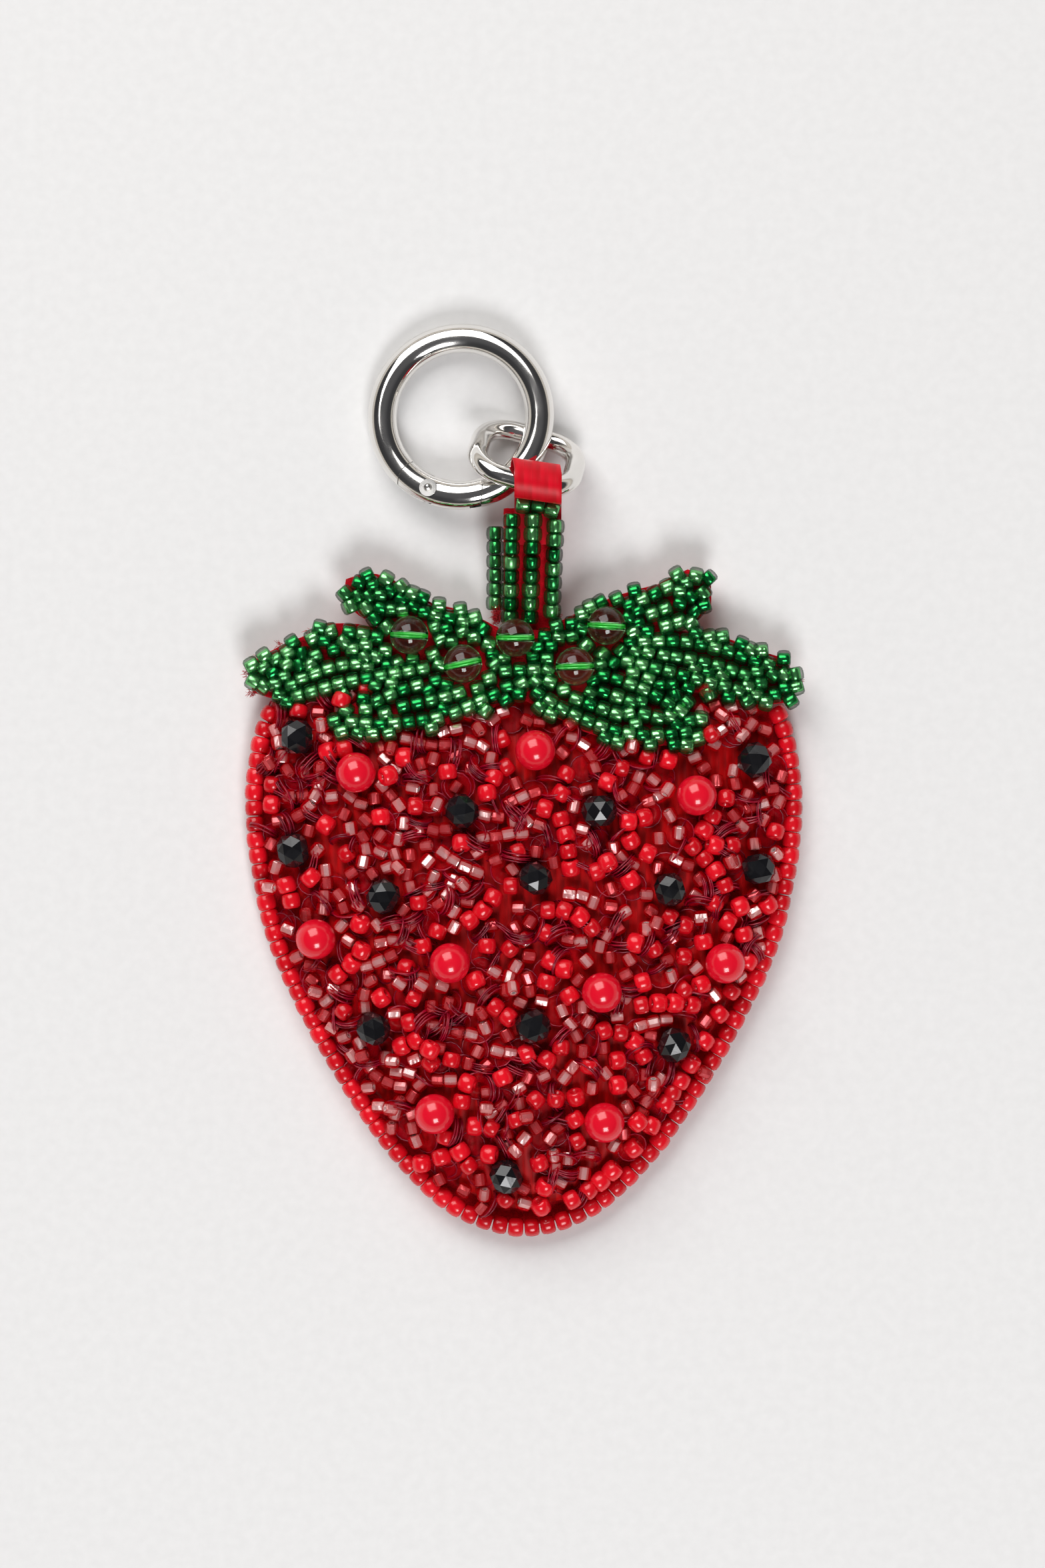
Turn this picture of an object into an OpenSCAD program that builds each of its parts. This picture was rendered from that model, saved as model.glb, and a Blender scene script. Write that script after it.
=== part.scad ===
// Beaded, padded strawberry charm on a satin ribbon, an oval link and a
// spring-gate ring, lying on its back. Millimetres, +Y towards the ring,
// +Z out of the beaded face, origin under the middle of the whole charm.

/* [Padded body] */
// Width of the felt back, without the bead edging
body_width = 79.6; // [76:0.2:82]
// Length of the felt back, from its point to the shoulders
body_length = 85.7; // [83:0.1:88]
// Distance from the origin down to the point of the felt back
body_drop = 66.2; // [65.5:0.1:67]
// Thickness of the felt back
back_thickness = 1.0; // [0.8:0.1:1]
// Height of the satin front at its rim
rim_height = 3.0; // [2.8:0.1:3.2]
// How far the padding swells above the rim
swell = 5.4; // [4.6:0.1:6]
// Thickness of the satin front
satin_thickness = 0.5; // [0.4:0.05:0.6]
// Thickness of the field of seed beads on the satin
field_thickness = 2.3; // [1.8:0.1:2.5]

/* [Beads] */
// Diameter of a red edging bead
edge_bead_diameter = 2.8; // [2.6:0.05:2.85]
// Length of a red edging bead
edge_bead_length = 2.25; // [2:0.05:2.3]
// Diameter of a green leaf or stem bead
leaf_bead_diameter = 2.35; // [2.2:0.05:2.4]
// Length of a green leaf or stem bead
leaf_bead_length = 1.9; // [1.7:0.05:1.95]
// Diameter of a black faceted bead
faceted_diameter = 5.2; // [4.8:0.1:5.4]
// Diameter of a red round bead
red_round_diameter = 6.0; // [5.6:0.1:6.2]
// Diameter of a green round bead
green_round_diameter = 5.8; // [5.4:0.1:6]
// Diameter of the thread hole through a bead
thread_hole = 0.9; // [0.7:0.05:1]

/* [Leaves and stem] */
// Thickness of the felt leaves
leaf_thickness = 0.8; // [0.6:0.1:0.9]
// Width of the felt stem
stem_width = 7.8; // [7.4:0.1:8.2]
// Height of the top of the stem where the ribbon lies on it
stem_height = 6.85; // [6.6:0.05:6.9]

/* [Ribbon] */
// Width of the satin ribbon
ribbon_width = 7.0; // [6.5:0.1:7.2]
// Thickness of the satin ribbon
ribbon_thickness = 0.3; // [0.2:0.05:0.3]

/* [Oval link] */
// Wire diameter of the oval link
link_wire = 3.0; // [2.8:0.1:3]
// Length of the oval link along the middle of its wire
link_length = 14.6; // [14.4:0.1:15]
// Width of the oval link along the middle of its wire
link_width = 12.0; // [12:0.1:12.2]
// Corner radius of the oval link along the middle of its wire
link_corner = 4.6; // [4.2:0.1:4.8]

/* [Spring-gate ring] */
// Outer diameter of the ring
ring_diameter = 28.0; // [27.8:0.1:28.2]
// Wire diameter of the ring
ring_wire = 4.3; // [4.1:0.1:4.3]
// Angle of the gate's rivet round the ring
rivet_angle = 247; // [244:1:249]
// Angle of the gate's free end round the ring
latch_angle = 287; // [285:1:289]
// Diameter of the rivet
rivet_diameter = 2.6; // [2.4:0.1:2.7]

/* [Hidden] */

fine = 64;
small = 20;
gap = 0.1;
through = 40;
curve_steps = 4;

// ---- curves -------------------------------------------------------------

function blend4(a, b, c, d, t) = 0.5 * ((2 * b) + (c - a) * t
    + (2 * a - 5 * b + 4 * c - d) * t * t
    + (3 * b - a - 3 * c + d) * t * t * t);
function closed_curve(p, n) = [for (i = [0 : len(p) - 1], k = [0 : n - 1])
    blend4(p[(i + len(p) - 1) % len(p)], p[i], p[(i + 1) % len(p)],
        p[(i + 2) % len(p)], k / n)];
function open_curve(p, n) = let (m = len(p) - 1) concat(
    [for (i = [0 : m - 1], k = [0 : n - 1])
        blend4(p[max(i - 1, 0)], p[i], p[i + 1], p[min(i + 2, m)], k / n)],
    [p[m]]);
function lengths(p) = [for (i = 0, s = 0; i < len(p);
    s = i + 1 < len(p) ? s + norm(p[i + 1] - p[i]) : s, i = i + 1) s];
function along(p, s, d) = [
    lookup(d, [for (i = [0 : len(p) - 1]) [s[i], p[i].x]]),
    lookup(d, [for (i = [0 : len(p) - 1]) [s[i], p[i].y]])];
function flat_angle(v) = atan2(v.y, v.x);

// ---- padded body --------------------------------------------------------

// Right half of the felt back, from the point up: part of the half width,
// part of the length.
half_outline = [[0, 0], [0.23, 0.03], [0.43, 0.11], [0.60, 0.215],
    [0.78, 0.355], [0.93, 0.51], [1.0, 0.68], [0.995, 0.805],
    [0.92, 0.912], [0.68, 0.977], [0.3, 0.998], [0, 1]];
half_count = len(half_outline);
outline_knots = concat(
    [for (q = half_outline) [q.x * body_width / 2,
        q.y * body_length - body_drop]],
    [for (i = [half_count - 2 : -1 : 1]) [-half_outline[i].x * body_width / 2,
        half_outline[i].y * body_length - body_drop]]);
outline = closed_curve(outline_knots, curve_steps);
body_centre = [0, -20];
front_inset = 0.965;
core_inset = 0.945;
rim_table = [for (turn = [-1 : 1], q = outline)
    [flat_angle(q - body_centre) + 360 * turn,
        norm(q - body_centre) * front_inset]];
function reach(p) = let (d = p - body_centre)
    norm(d) / lookup(flat_angle(d), rim_table);
crown_flatness = 3;
crown_roundness = 0.8;
function swell_at(s) = swell
    * pow(1 - pow(min(1, s), crown_flatness), crown_roundness);
function satin(p) = rim_height + swell_at(reach(p));
function steepness(p) = let (e = 0.4) norm([
    satin(p + [e, 0]) - satin(p - [e, 0]),
    satin(p + [0, e]) - satin(p - [0, e])]) / (2 * e);
// Height of a ball or bead axis that lies on the satin at p.
function sit(p, r) = satin(p)
    + (r + gap) * sqrt(1 + pow(steepness(p), 2));

rings = [1, 0.95, 0.88, 0.78, 0.65, 0.5, 0.34, 0.17];
function ring_points(inset, s, z) = [for (q = outline)
    let (d = body_centre + (q - body_centre) * inset * s) [d.x, d.y, z]];
function band(a, b, n) = [for (i = [0 : n - 1]) each [
    [a + i, a + (i + 1) % n, b + i],
    [a + (i + 1) % n, b + (i + 1) % n, b + i]]];
function fan(a, c, n) = [for (i = [0 : n - 1]) [a + i, a + (i + 1) % n, c]];
function flip(f) = [for (t = f) [t[0], t[2], t[1]]];

// A domed cap: a wall from floor_z up to the rim, then the dome lowered by drop.
module dome_solid(inset, floor_z, drop) {
    n = len(outline);
    k = len(rings);
    polyhedron(
        points = concat(ring_points(inset, 1, floor_z),
            [for (s = rings) each ring_points(inset, s,
                rim_height + swell_at(s) - drop)],
            [[body_centre.x, body_centre.y, rim_height + swell - drop],
                [body_centre.x, body_centre.y, floor_z]]),
        faces = concat(fan(0, n * (k + 1) + 1, n),
            [for (j = [0 : k - 1]) each flip(band(n * j, n * (j + 1), n))],
            flip(fan(n * k, n * (k + 1), n))));
}

// A domed sheet of even height between two lifts above the satin.
module dome_sheet(inset, low, high) {
    n = len(outline);
    k = len(rings);
    side = n * k + 1;
    polyhedron(
        points = [for (lift = [low, high]) each concat(
            [for (s = rings) each ring_points(inset, s,
                rim_height + swell_at(s) + lift)],
            [[body_centre.x, body_centre.y, rim_height + swell + lift]])],
        faces = concat(
            [for (j = [0 : k - 2]) each band(n * j, n * (j + 1), n)],
            fan(n * (k - 1), n * k, n),
            [for (j = [0 : k - 2]) each
                flip(band(side + n * j, side + n * (j + 1), n))],
            flip(fan(side + n * (k - 1), side + n * k, n)),
            flip(band(0, side, n))));
}

module back_cover() color([0.72, 0.06, 0.10])
    linear_extrude(back_thickness) polygon(outline);

module stuffing() color([0.93, 0.91, 0.88])
    dome_solid(core_inset, back_thickness + gap, satin_thickness + gap);

module front_cover() color([0.80, 0.05, 0.12])
    dome_sheet(front_inset, -satin_thickness, 0);

// ---- beads --------------------------------------------------------------

black_places = [[-33.8, 6.9], [-9.2, -4.1], [11.2, -4.1], [34.4, 3.5],
    [-34.4, -10], [1.7, -14.1], [35, -12.7], [-20.9, -16.8],
    [21.7, -15.8], [-22.4, -36.5], [1.4, -36.1], [22.4, -39],
    [-2.6, -58.6]];
red_places = [[-25, 1.6], [1.7, 4.9], [25.7, -1.8], [-31, -23.2],
    [-11, -26.7], [11.6, -31.1], [30, -26.8], [-13.3, -49.2],
    [12, -50.5]];
green_places = [[-17.1, 22.1], [-9.1, 17.8], [-1.3, 21.7],
    [12.3, 23.5], [7.6, 17.4]];
green_turns = [-3, 12, 0, -3, 2];

// A bead standing on its hole, lying on its side and turned by dir.
module lay(p, dir) translate(p)
    rotate([0, acos(dir.z / norm(dir)), atan2(dir.y, dir.x)]) children();

seed_face = 0.31;
seed_waist = 0.26;
module seed(d, l) rotate_extrude($fn = small) polygon([
    [thread_hole / 2, -l / 2], [seed_face * d, -l / 2],
    [d / 2, -seed_waist * l], [d / 2, seed_waist * l],
    [seed_face * d, l / 2], [thread_hole / 2, l / 2]]);

module round_bead(d) difference() {
    sphere(d = d, $fn = fine);
    cylinder(d = thread_hole, h = 2 * d, center = true, $fn = small);
}

// Rows of facets from one end to the other: radius and place, in diameters.
facet_rows = [[0.24, -0.44], [0.42, -0.24], [0.5, 0], [0.42, 0.24],
    [0.24, 0.44]];
facet_sides = 10;
module faceted_bead(d) rotate_extrude($fn = facet_sides) polygon(concat(
    [[thread_hole / 2, d * facet_rows[0].y]], d * facet_rows,
    [[thread_hole / 2, -d * facet_rows[0].y]]));

turn_step = 47;
module scatter(places, r) for (i = [0 : len(places) - 1])
    lay([places[i].x, places[i].y, sit(places[i], r)],
        [cos(i * turn_step), sin(i * turn_step), 0]) children();

module black_faceted_beads() color([0.03, 0.03, 0.035])
    scatter(black_places, faceted_diameter / 2)
        faceted_bead(faceted_diameter);

module red_round_beads() color([0.78, 0.04, 0.08])
    scatter(red_places, red_round_diameter / 2)
        round_bead(red_round_diameter);

// The field of small beads, open round every large bead and under the leaves.
pocket_gap = 0.25;
module seed_bead_field() color([0.86, 0.08, 0.14]) difference() {
    dome_sheet(front_inset, gap, gap + field_thickness);
    for (q = black_places) translate([q.x, q.y, 0])
        cylinder(d = faceted_diameter + 2 * pocket_gap, h = through,
            $fn = fine);
    for (q = red_places) translate([q.x, q.y, 0])
        cylinder(d = red_round_diameter + 2 * pocket_gap, h = through,
            $fn = fine);
    linear_extrude(through) polygon(calyx_shadow);
}

edge_out = 0.3;
edge_rise = 1.9;
edge_pitch = 2.36;
edge_stop = 13.5;
heading_step = 0.3;
right_run = [for (q = outline) if (q.y < edge_stop && q.x >= 0) q];
module edge_run(side) {
    s = lengths(right_run);
    for (d = [edge_pitch / 2 : edge_pitch : s[len(s) - 1]]) {
        p = along(right_run, s, d);
        v = along(right_run, s, d + heading_step)
            - along(right_run, s, d - heading_step);
        out = [v.y, -v.x] / norm(v) * edge_out;
        lay([side * (p.x + out.x), p.y + out.y, back_thickness + edge_rise],
            [side * v.x, v.y, 0]) seed(edge_bead_diameter, edge_bead_length);
    }
}
module edge_seed_beads() color([0.85, 0.03, 0.10])
    for (side = [-1, 1]) edge_run(side);

// ---- leaves -------------------------------------------------------------

leaf_lift = 0.6;
leaf_centre = [0, 18.5];
calyx_outline = [[41, 15.5], [39, 18.6], [34, 20.3], [29.5, 22],
    [22.5, 22.9], [25.2, 23.6], [28, 26.5], [28, 30.5], [24.5, 32],
    [20, 29.8], [13.5, 28], [7, 25], [3, 22.9], [-3, 22.9], [-6, 24.4],
    [-9.5, 26], [-13.5, 26.8], [-17, 28.9], [-20.5, 31], [-23.5, 31.5],
    [-26.6, 30.5], [-27, 27], [-24.5, 25], [-21.5, 23.3], [-24.8, 23.8],
    [-29.5, 24], [-32, 22.4], [-36.5, 20.5], [-40, 18.6], [-41.3, 16.3],
    [-40.5, 13.6], [-35.5, 12], [-33, 12.2], [-30.5, 12.6],
    [-26.5, 13.3],
    [-22.5, 14], [-18.8, 14.7], [-21, 14], [-25.5, 11.9], [-28.5, 9.3],
    [-27, 7.4], [-22, 7.2], [-17.5, 7.7], [-12, 8.5], [-8.5, 10],
    [-5, 11], [-1, 13], [4.5, 10], [9, 7.7], [14, 6], [19.5, 5.7],
    [24, 5.5], [26.8, 7], [26.3, 10.9], [22.5, 13.1], [19, 14.6],
    [21.5, 14.3], [25, 13.7], [30, 12.8], [33, 12.2],
    [36, 11.7], [40, 12.2]];
shadow_margin = 1.3;
calyx_shadow = [for (q = calyx_outline)
    q + (q - leaf_centre) / norm(q - leaf_centre) * shadow_margin];
leaf_rings = [1, 0.93, 0.86, 0.72, 0.58, 0.44, 0.3, 0.15];
module calyx_felt() color([0.70, 0.05, 0.09]) {
    n = len(calyx_outline);
    k = len(leaf_rings);
    side = n * k + 1;
    polyhedron(
        points = [for (lift = [leaf_lift, leaf_lift + leaf_thickness])
            each concat([for (s = leaf_rings, q = calyx_outline)
                let (d = leaf_centre + (q - leaf_centre) * s)
                    [d.x, d.y, satin(d) + lift]],
                [[leaf_centre.x, leaf_centre.y,
                    satin(leaf_centre) + lift]])],
        faces = concat(
            [for (j = [0 : k - 2]) each band(n * j, n * (j + 1), n)],
            fan(n * (k - 1), n * k, n),
            [for (j = [0 : k - 2]) each
                flip(band(side + n * j, side + n * (j + 1), n))],
            flip(fan(side + n * (k - 1), side + n * k, n)),
            flip(band(0, side, n))));
}

// Each leaf is filled between a lower and an upper string of beads, the
// edges first and the rows between them where there is room.
row_order = [0, 1, 0.335, 0.665, 0.5];
leaf_strings = [
    [[[-13.5, 14.8], [-4, 16.6], [4, 16.8], [9, 16.6]],
        [[-12, 21], [-5, 22], [5, 21.8], [9, 20.5]]],
    [[[-14, 17.2], [-19.8, 16.2], [-26.6, 15], [-34.9, 12.9], [-39, 14.4]],
        [[-14, 20], [-25, 22.4], [-29.6, 22.5], [-36.1, 19],
            [-39.4, 17]]],
    [[[-19, 22.5], [-21.6, 23.9], [-22.9, 25.4], [-24.8, 28]],
        [[-8, 24], [-14, 25.3], [-17.8, 27.1], [-21.5, 29.6],
            [-24.8, 28.9]]],
    [[[-3.5, 13.6], [-8, 11.5], [-11.9, 9.9], [-17.2, 9.1], [-21.8, 8.7],
        [-26.3, 9.1]],
        [[-4.5, 17], [-14, 15], [-18.8, 13.6], [-24.3, 10.9],
            [-26.3, 9.6]]],
    [[[14.5, 18.4], [21.6, 16.6], [25.9, 15.4], [30.2, 14.4], [34.2, 13.2],
        [39, 13.4]],
        [[14.8, 21], [23.3, 21.2], [29.3, 20.2], [33.3, 18.7],
            [37.5, 17.3], [39.3, 15.6]]],
    [[[12, 21], [20.8, 23.4], [24.1, 24.5], [25.8, 26], [26.5, 28]],
        [[8, 24], [15.6, 26.6], [19.4, 28.2], [22, 29.5],
            [24.8, 30]]],
    [[[1.3, 13.9], [4.9, 11.4], [9.7, 9.1], [14.5, 7.5], [19.8, 7.1],
        [24.8, 7.7]],
        [[4.5, 17], [11.9, 16], [17.6, 14], [21.3, 12], [24.9, 9.6]]]];
leaf_pitch = 2.12;
felt_nap = 0.08;
leaf_seat = leaf_lift + leaf_thickness + gap + felt_nap
    + leaf_bead_diameter / 2;
row_steps = 20;
function row_curve(k, f) = let (
    a = open_curve(leaf_strings[k][0], curve_steps),
    b = open_curve(leaf_strings[k][1], curve_steps),
    sa = lengths(a), sb = lengths(b))
    [for (i = [0 : row_steps]) let (t = i / row_steps)
        along(a, sa, t * sa[len(sa) - 1]) * (1 - f)
        + along(b, sb, t * sb[len(sb) - 1]) * f];
// [place, direction, leaf, string] for each bead that could be sewn on.
function row_beads(k, j) = let (c = row_curve(k, row_order[j]),
    s = lengths(c))
    [for (d = [leaf_pitch / 2 : leaf_pitch / 3 : s[len(s) - 1]])
        let (v = along(c, s, d + heading_step)
            - along(c, s, d - heading_step))
        [along(c, s, d), v / norm(v), k, 10 * k + j]];
string_places = [for (k = [1, 2, 3, 4, 5, 6, 0],
    j = [0 : len(row_order) - 1]) each row_beads(k, j)];
end_radius = seed_face * leaf_bead_diameter;
string_gap = 0.12;
side_gap = 0.06;
cross_gap = 0.25;
side_by_side = 0.94;
// Least distance between two beads, by how their strings run.
function clearance(a, b) = let (c = abs(a[1] * b[1]))
    a[3] == b[3] ? leaf_bead_length + string_gap
        + 2 * end_radius * sqrt(max(0, 1 - c) / 2)
    : leaf_bead_diameter + (c > side_by_side ? side_gap : cross_gap);
// Beads sewn singly, turned every way, wherever the strings leave room.
function inside(p, poly) = len([for (i = [0 : len(poly) - 1])
    let (a = poly[i], b = poly[(i + 1) % len(poly)])
    if ((a.y > p.y) != (b.y > p.y)
        && p.x < (b.x - a.x) * (p.y - a.y) / (b.y - a.y) + a.x) i]) % 2 == 1;
single_step = 1.15;
single_turn = 67;
single_inset = 1.2;
single_low = [-40, 6.5];
single_high = [40, 31];
single_area = [for (q = calyx_outline)
    q - (q - leaf_centre) / norm(q - leaf_centre) * single_inset];
single_places = [for (y = [single_low.y : single_step : single_high.y],
    x = [single_low.x : single_step : single_high.x])
    if (inside([x, y], single_area)) [x, y]];
function leaf_of(p) = let (near = [for (b = strung) norm(b[0] - p)],
    least = min(near)) [for (i = [0 : len(strung) - 1])
        if (near[i] == least) strung[i][2]][0];
round_gap = 0.15;
round_clear = (green_round_diameter + leaf_bead_diameter) / 2 + round_gap;
function free(b, kept, i) = i < 0 ? true
    : norm(b[0] - kept[i][0]) < clearance(b, kept[i]) ? false
    : free(b, kept, i - 1);
function clear_of_rounds(p) =
    min([for (q = green_places) norm(p - q)]) > round_clear;
function sew(list, i, kept) = i == len(list) ? kept
    : sew(list, i + 1, clear_of_rounds(list[i][0])
        && free(list[i], kept, len(kept) - 1)
        ? concat(kept, [list[i]]) : kept);
strung = sew(string_places, 0, []);
sewn = sew([for (i = [0 : len(single_places) - 1])
    let (a = i * single_turn) [single_places[i], [cos(a), sin(a)],
        leaf_of(single_places[i]), -i]], 0, strung);
// A leaf bead rests on the highest felt within this reach of its middle.
bead_reach = 1.1;
function leaf_height(p) = leaf_seat + max([for (a = [0 : 45 : 315])
    satin(p + bead_reach * [cos(a), sin(a)])]);
module leaf_beads(k) color([0.02, 0.42, 0.20])
    for (b = sewn) if (b[2] == k) lay([b[0].x, b[0].y, leaf_height(b[0])],
        [b[1].x, b[1].y, leaf_height(b[0] + b[1] / 2)
            - leaf_height(b[0] - b[1] / 2)])
        seed(leaf_bead_diameter, leaf_bead_length);
module calyx_centre_beads() leaf_beads(0);
module left_leaf_beads() leaf_beads(1);
module upper_left_leaf_beads() leaf_beads(2);
module lower_left_leaf_beads() leaf_beads(3);
module right_leaf_beads() leaf_beads(4);
module upper_right_leaf_beads() leaf_beads(5);
module lower_right_leaf_beads() leaf_beads(6);

module green_round_beads() color([0.03, 0.50, 0.25])
    for (i = [0 : len(green_places) - 1])
        lay([green_places[i].x, green_places[i].y, sit(green_places[i],
            leaf_lift + leaf_thickness + green_round_diameter / 2)],
            [cos(green_turns[i]), sin(green_turns[i]), 0])
            round_bead(green_round_diameter);

// ---- stem and ribbon ----------------------------------------------------

stem_root = 18.6;
stem_bend = 25.2;
stem_flat = 35;
stem_end = 41;
stem_low = 3.3;
stem_dip = 0.4;
stem_chamfer = 1.2;
stem_slope = (stem_height - stem_low) / (stem_flat - stem_bend);
function stem_top(y) = stem_low
    + stem_slope * (min(max(y, stem_bend), stem_flat) - stem_bend);
stem_x = 0.9;
module stem_felt() color([0.70, 0.05, 0.09])
    translate([stem_x - stem_width / 2, 0, 0]) rotate([90, 0, 90])
        linear_extrude(stem_width) polygon([
            [stem_root, back_thickness + gap],
            [stem_end - stem_chamfer, back_thickness + gap],
            [stem_end, back_thickness + gap + stem_chamfer],
            [stem_end, stem_height], [stem_flat, stem_height],
            [stem_bend, stem_low], [stem_root, stem_low - stem_dip]]);

fold_y = 43.2;
fold_z = 7.3;
fold_reach = 0.4;
tail_end = fold_y - fold_reach;
tail_start = 35.5;
tail_gap = 0.05;
ribbon_x = 2.1;
module ribbon_tails() color([0.80, 0.04, 0.10])
    for (k = [0, 1]) translate([ribbon_x - ribbon_width / 2, tail_start,
        fold_z + (k == 0 ? -tail_gap / 2 - ribbon_thickness : tail_gap / 2)])
        cube([ribbon_width, tail_end - tail_start, ribbon_thickness]);

stem_bead_seat = leaf_bead_diameter / 2 + gap;
bead_over_ribbon = fold_z + tail_gap / 2 + ribbon_thickness
    + stem_bead_seat;
stem_pitch = 2.06;
tilt_reach = 0.2;
tail_lead = 1.2;
stem_nap = 0.12;
// Height of a bead on the stem: on the felt, or on the ribbon's tails.
function stem_bead_z(y) = y > tail_start - tail_lead ? bead_over_ribbon
    : min(bead_over_ribbon, stem_top(y)
        + stem_bead_seat * sqrt(1 + pow(stem_slope, 2)) + stem_nap);
// A column from top to bottom: [top, bottom, beads].
module stem_column(top, bottom, count) for (i = [0 : count - 1]) {
    t = i / (count - 1);
    y = top.y + (bottom.y - top.y) * t;
    x = top.x + (bottom.x - top.x) * t;
    lay([x, y, stem_bead_z(y)], [(top.x - bottom.x) / (count - 1),
        stem_pitch, (stem_bead_z(y + tilt_reach)
            - stem_bead_z(y - tilt_reach)) / (2 * tilt_reach)
            * stem_pitch]) seed(leaf_bead_diameter, leaf_bead_length);
}
module stem_front_beads() color([0.02, 0.42, 0.20]) {
    stem_column([-1.8, 39.1], [-2.1, 24.8], 8);
    stem_column([1.4, 39.1], [0.9, 24.8], 8);
    stem_column([4.7, 38.2], [4.2, 25.8], 7);
}

side_drop = 1.3;
side_start = 37.3;
side_count = 6;
module stem_side_beads() color([0.02, 0.42, 0.20])
    for (i = [0 : side_count - 1]) {
        y = side_start - i * stem_pitch;
        lay([stem_x - stem_width / 2 - stem_bead_seat, y,
            stem_top(y) - side_drop], [0, 1, 0])
            seed(leaf_bead_diameter, leaf_bead_length);
    }

module stem_top_beads() color([0.02, 0.42, 0.20])
    for (q = [[-0.1, 41.5, -6], [2.1, 41.35, -10], [4.2, 40.7, -20]])
        lay([q.x, q.y, bead_over_ribbon], [cos(q.z), sin(q.z), 0])
            seed(leaf_bead_diameter, leaf_bead_length);

// Section of the ribbon loop, [y, z, turned] from the fold: turned grows
// from 0 at the fold to 1 round the link, where the loop leans with the wire.
loop_section = [[fold_reach, 0.2, 0], [0.15, 1.3, 0.3], [-0.35, 2.5, 0.8],
    [-1.15, 3.85, 1], [-0.75, 5.7, 1], [1.1, 6.6, 1], [3.1, 6.0, 1],
    [4.45, 4.3, 1], [4.3, 2.5, 1], [3.1, 1.5, 1], [2, 0.95, 1],
    [1.15, 0.25, 0.8], [fold_reach, -0.2, 0]];
loop_lean = 0.16;
loop_skew = -0.14;
loop_shift = 1.5;
loop_return = 6;
loop_rail = open_curve(loop_section, curve_steps);
function loop_normal(i) = let (m = len(loop_rail) - 1,
    v = loop_rail[min(i + 1, m)] - loop_rail[max(i - 1, 0)],
    w = [v.y, -v.x, 0] / norm([v.x, v.y])) w;
function loop_point(i, x, off) = let (q = loop_rail[i]
    + loop_normal(i) * off, m = len(loop_rail) - 1,
    back = loop_shift * q.z * max(0, 2 * i / m - 1)
        * (1 - pow(i / m, loop_return)))
    [ribbon_x + x - back, fold_y + q.x + (x * loop_skew) * q.z,
        fold_z + q.y - loop_lean * x * q.z];
module ribbon_loop() color([0.80, 0.04, 0.10]) {
    m = len(loop_rail);
    h = ribbon_thickness / 2;
    w = ribbon_width / 2;
    corners = [[-w, h], [w, h], [w, -h], [-w, -h]];
    polyhedron(
        points = [for (i = [0 : m - 1], c = corners)
            loop_point(i, c.x, c.y)],
        faces = concat([[0, 1, 2], [0, 2, 3]],
            [for (i = [0 : m - 2], c = [0 : 3]) each
                let (a = 4 * i + c, b = 4 * i + (c + 1) % 4) [
                    [a, a + 4, b], [b, a + 4, b + 4]]],
            [[4 * m - 4, 4 * m - 2, 4 * m - 3],
                [4 * m - 4, 4 * m - 1, 4 * m - 2]]));
}

// ---- link ---------------------------------------------------------------

link_place = [0.4, 48.5, 6.35];
link_turn = -15.5;
link_tilt = 53;
module quarter_bend() rotate_extrude(angle = 90, $fn = fine)
    translate([link_corner, 0]) circle(d = link_wire, $fn = fine);
module oval_link() color([0.78, 0.78, 0.77])
    translate(link_place) rotate([0, 0, link_turn])
        rotate([180 - link_tilt, 0, 0]) {
            a = link_length / 2 - link_corner;
            b = link_width / 2 - link_corner;
            for (t = [[a, b, 0], [-a, b, 90], [-a, -b, 180], [a, -b, 270]])
                translate([t.x, t.y, 0]) rotate([0, 0, t.z]) quarter_bend();
            for (side = [-1, 1]) {
                translate([-a, side * link_width / 2, 0]) rotate([0, 90, 0])
                    cylinder(d = link_wire, h = 2 * a, $fn = fine);
                translate([side * link_length / 2, -b, 0])
                    rotate([-90, 0, 0])
                    cylinder(d = link_wire, h = 2 * b, $fn = fine);
            }
        }

// ---- spring-gate ring ---------------------------------------------------

ring_radius = (ring_diameter - ring_wire) / 2;
ring_tilt = 8.4;
ring_high = 322.5;
floor_gap = 0.05;
ring_place = [-9.4, 54.8, ring_wire / 2 + floor_gap
    + ring_radius * sin(ring_tilt)];
module ring_set() translate(ring_place)
    rotate([0, 0, ring_high]) rotate([0, -ring_tilt, 0])
        rotate([0, 0, -ring_high]) children();
module ring_tube() rotate_extrude($fn = fine)
    translate([ring_radius, 0]) circle(d = ring_wire, $fn = fine);
module at_rivet() rotate([0, 0, rivet_angle])
    translate([ring_radius, 0, 0]) children();
module at_latch() rotate([0, 0, latch_angle])
    translate([ring_radius, 0, 0]) children();
module drum(r, h = through) cylinder(r = r, h = h, center = true,
    $fn = fine);
// Slab of thickness t on one side of the rivet's radial plane.
module ahead(side, t) translate([-through / 2,
    side > 0 ? 0 : -through, -t / 2]) cube([through, through, t]);

ear_reach = 4.7;
latch_reach = 2 * ring_radius * sin((latch_angle - rivet_angle) / 2);
seam = 0.15;
tongue_thickness = 1.5;
tongue_end = 2.0;
slot_gap = 0.1;
nose_half = 0.9;
nose_length = 1.3;
channel_gap = 0.15;
rivet_radius = rivet_diameter / 2;
rivet_run = 0.05;
rivet_proud = 0.12;
rivet_half = ring_wire / 2 + rivet_proud;
dish_radius = 0.8;
dish_rise = 0.5;

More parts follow.
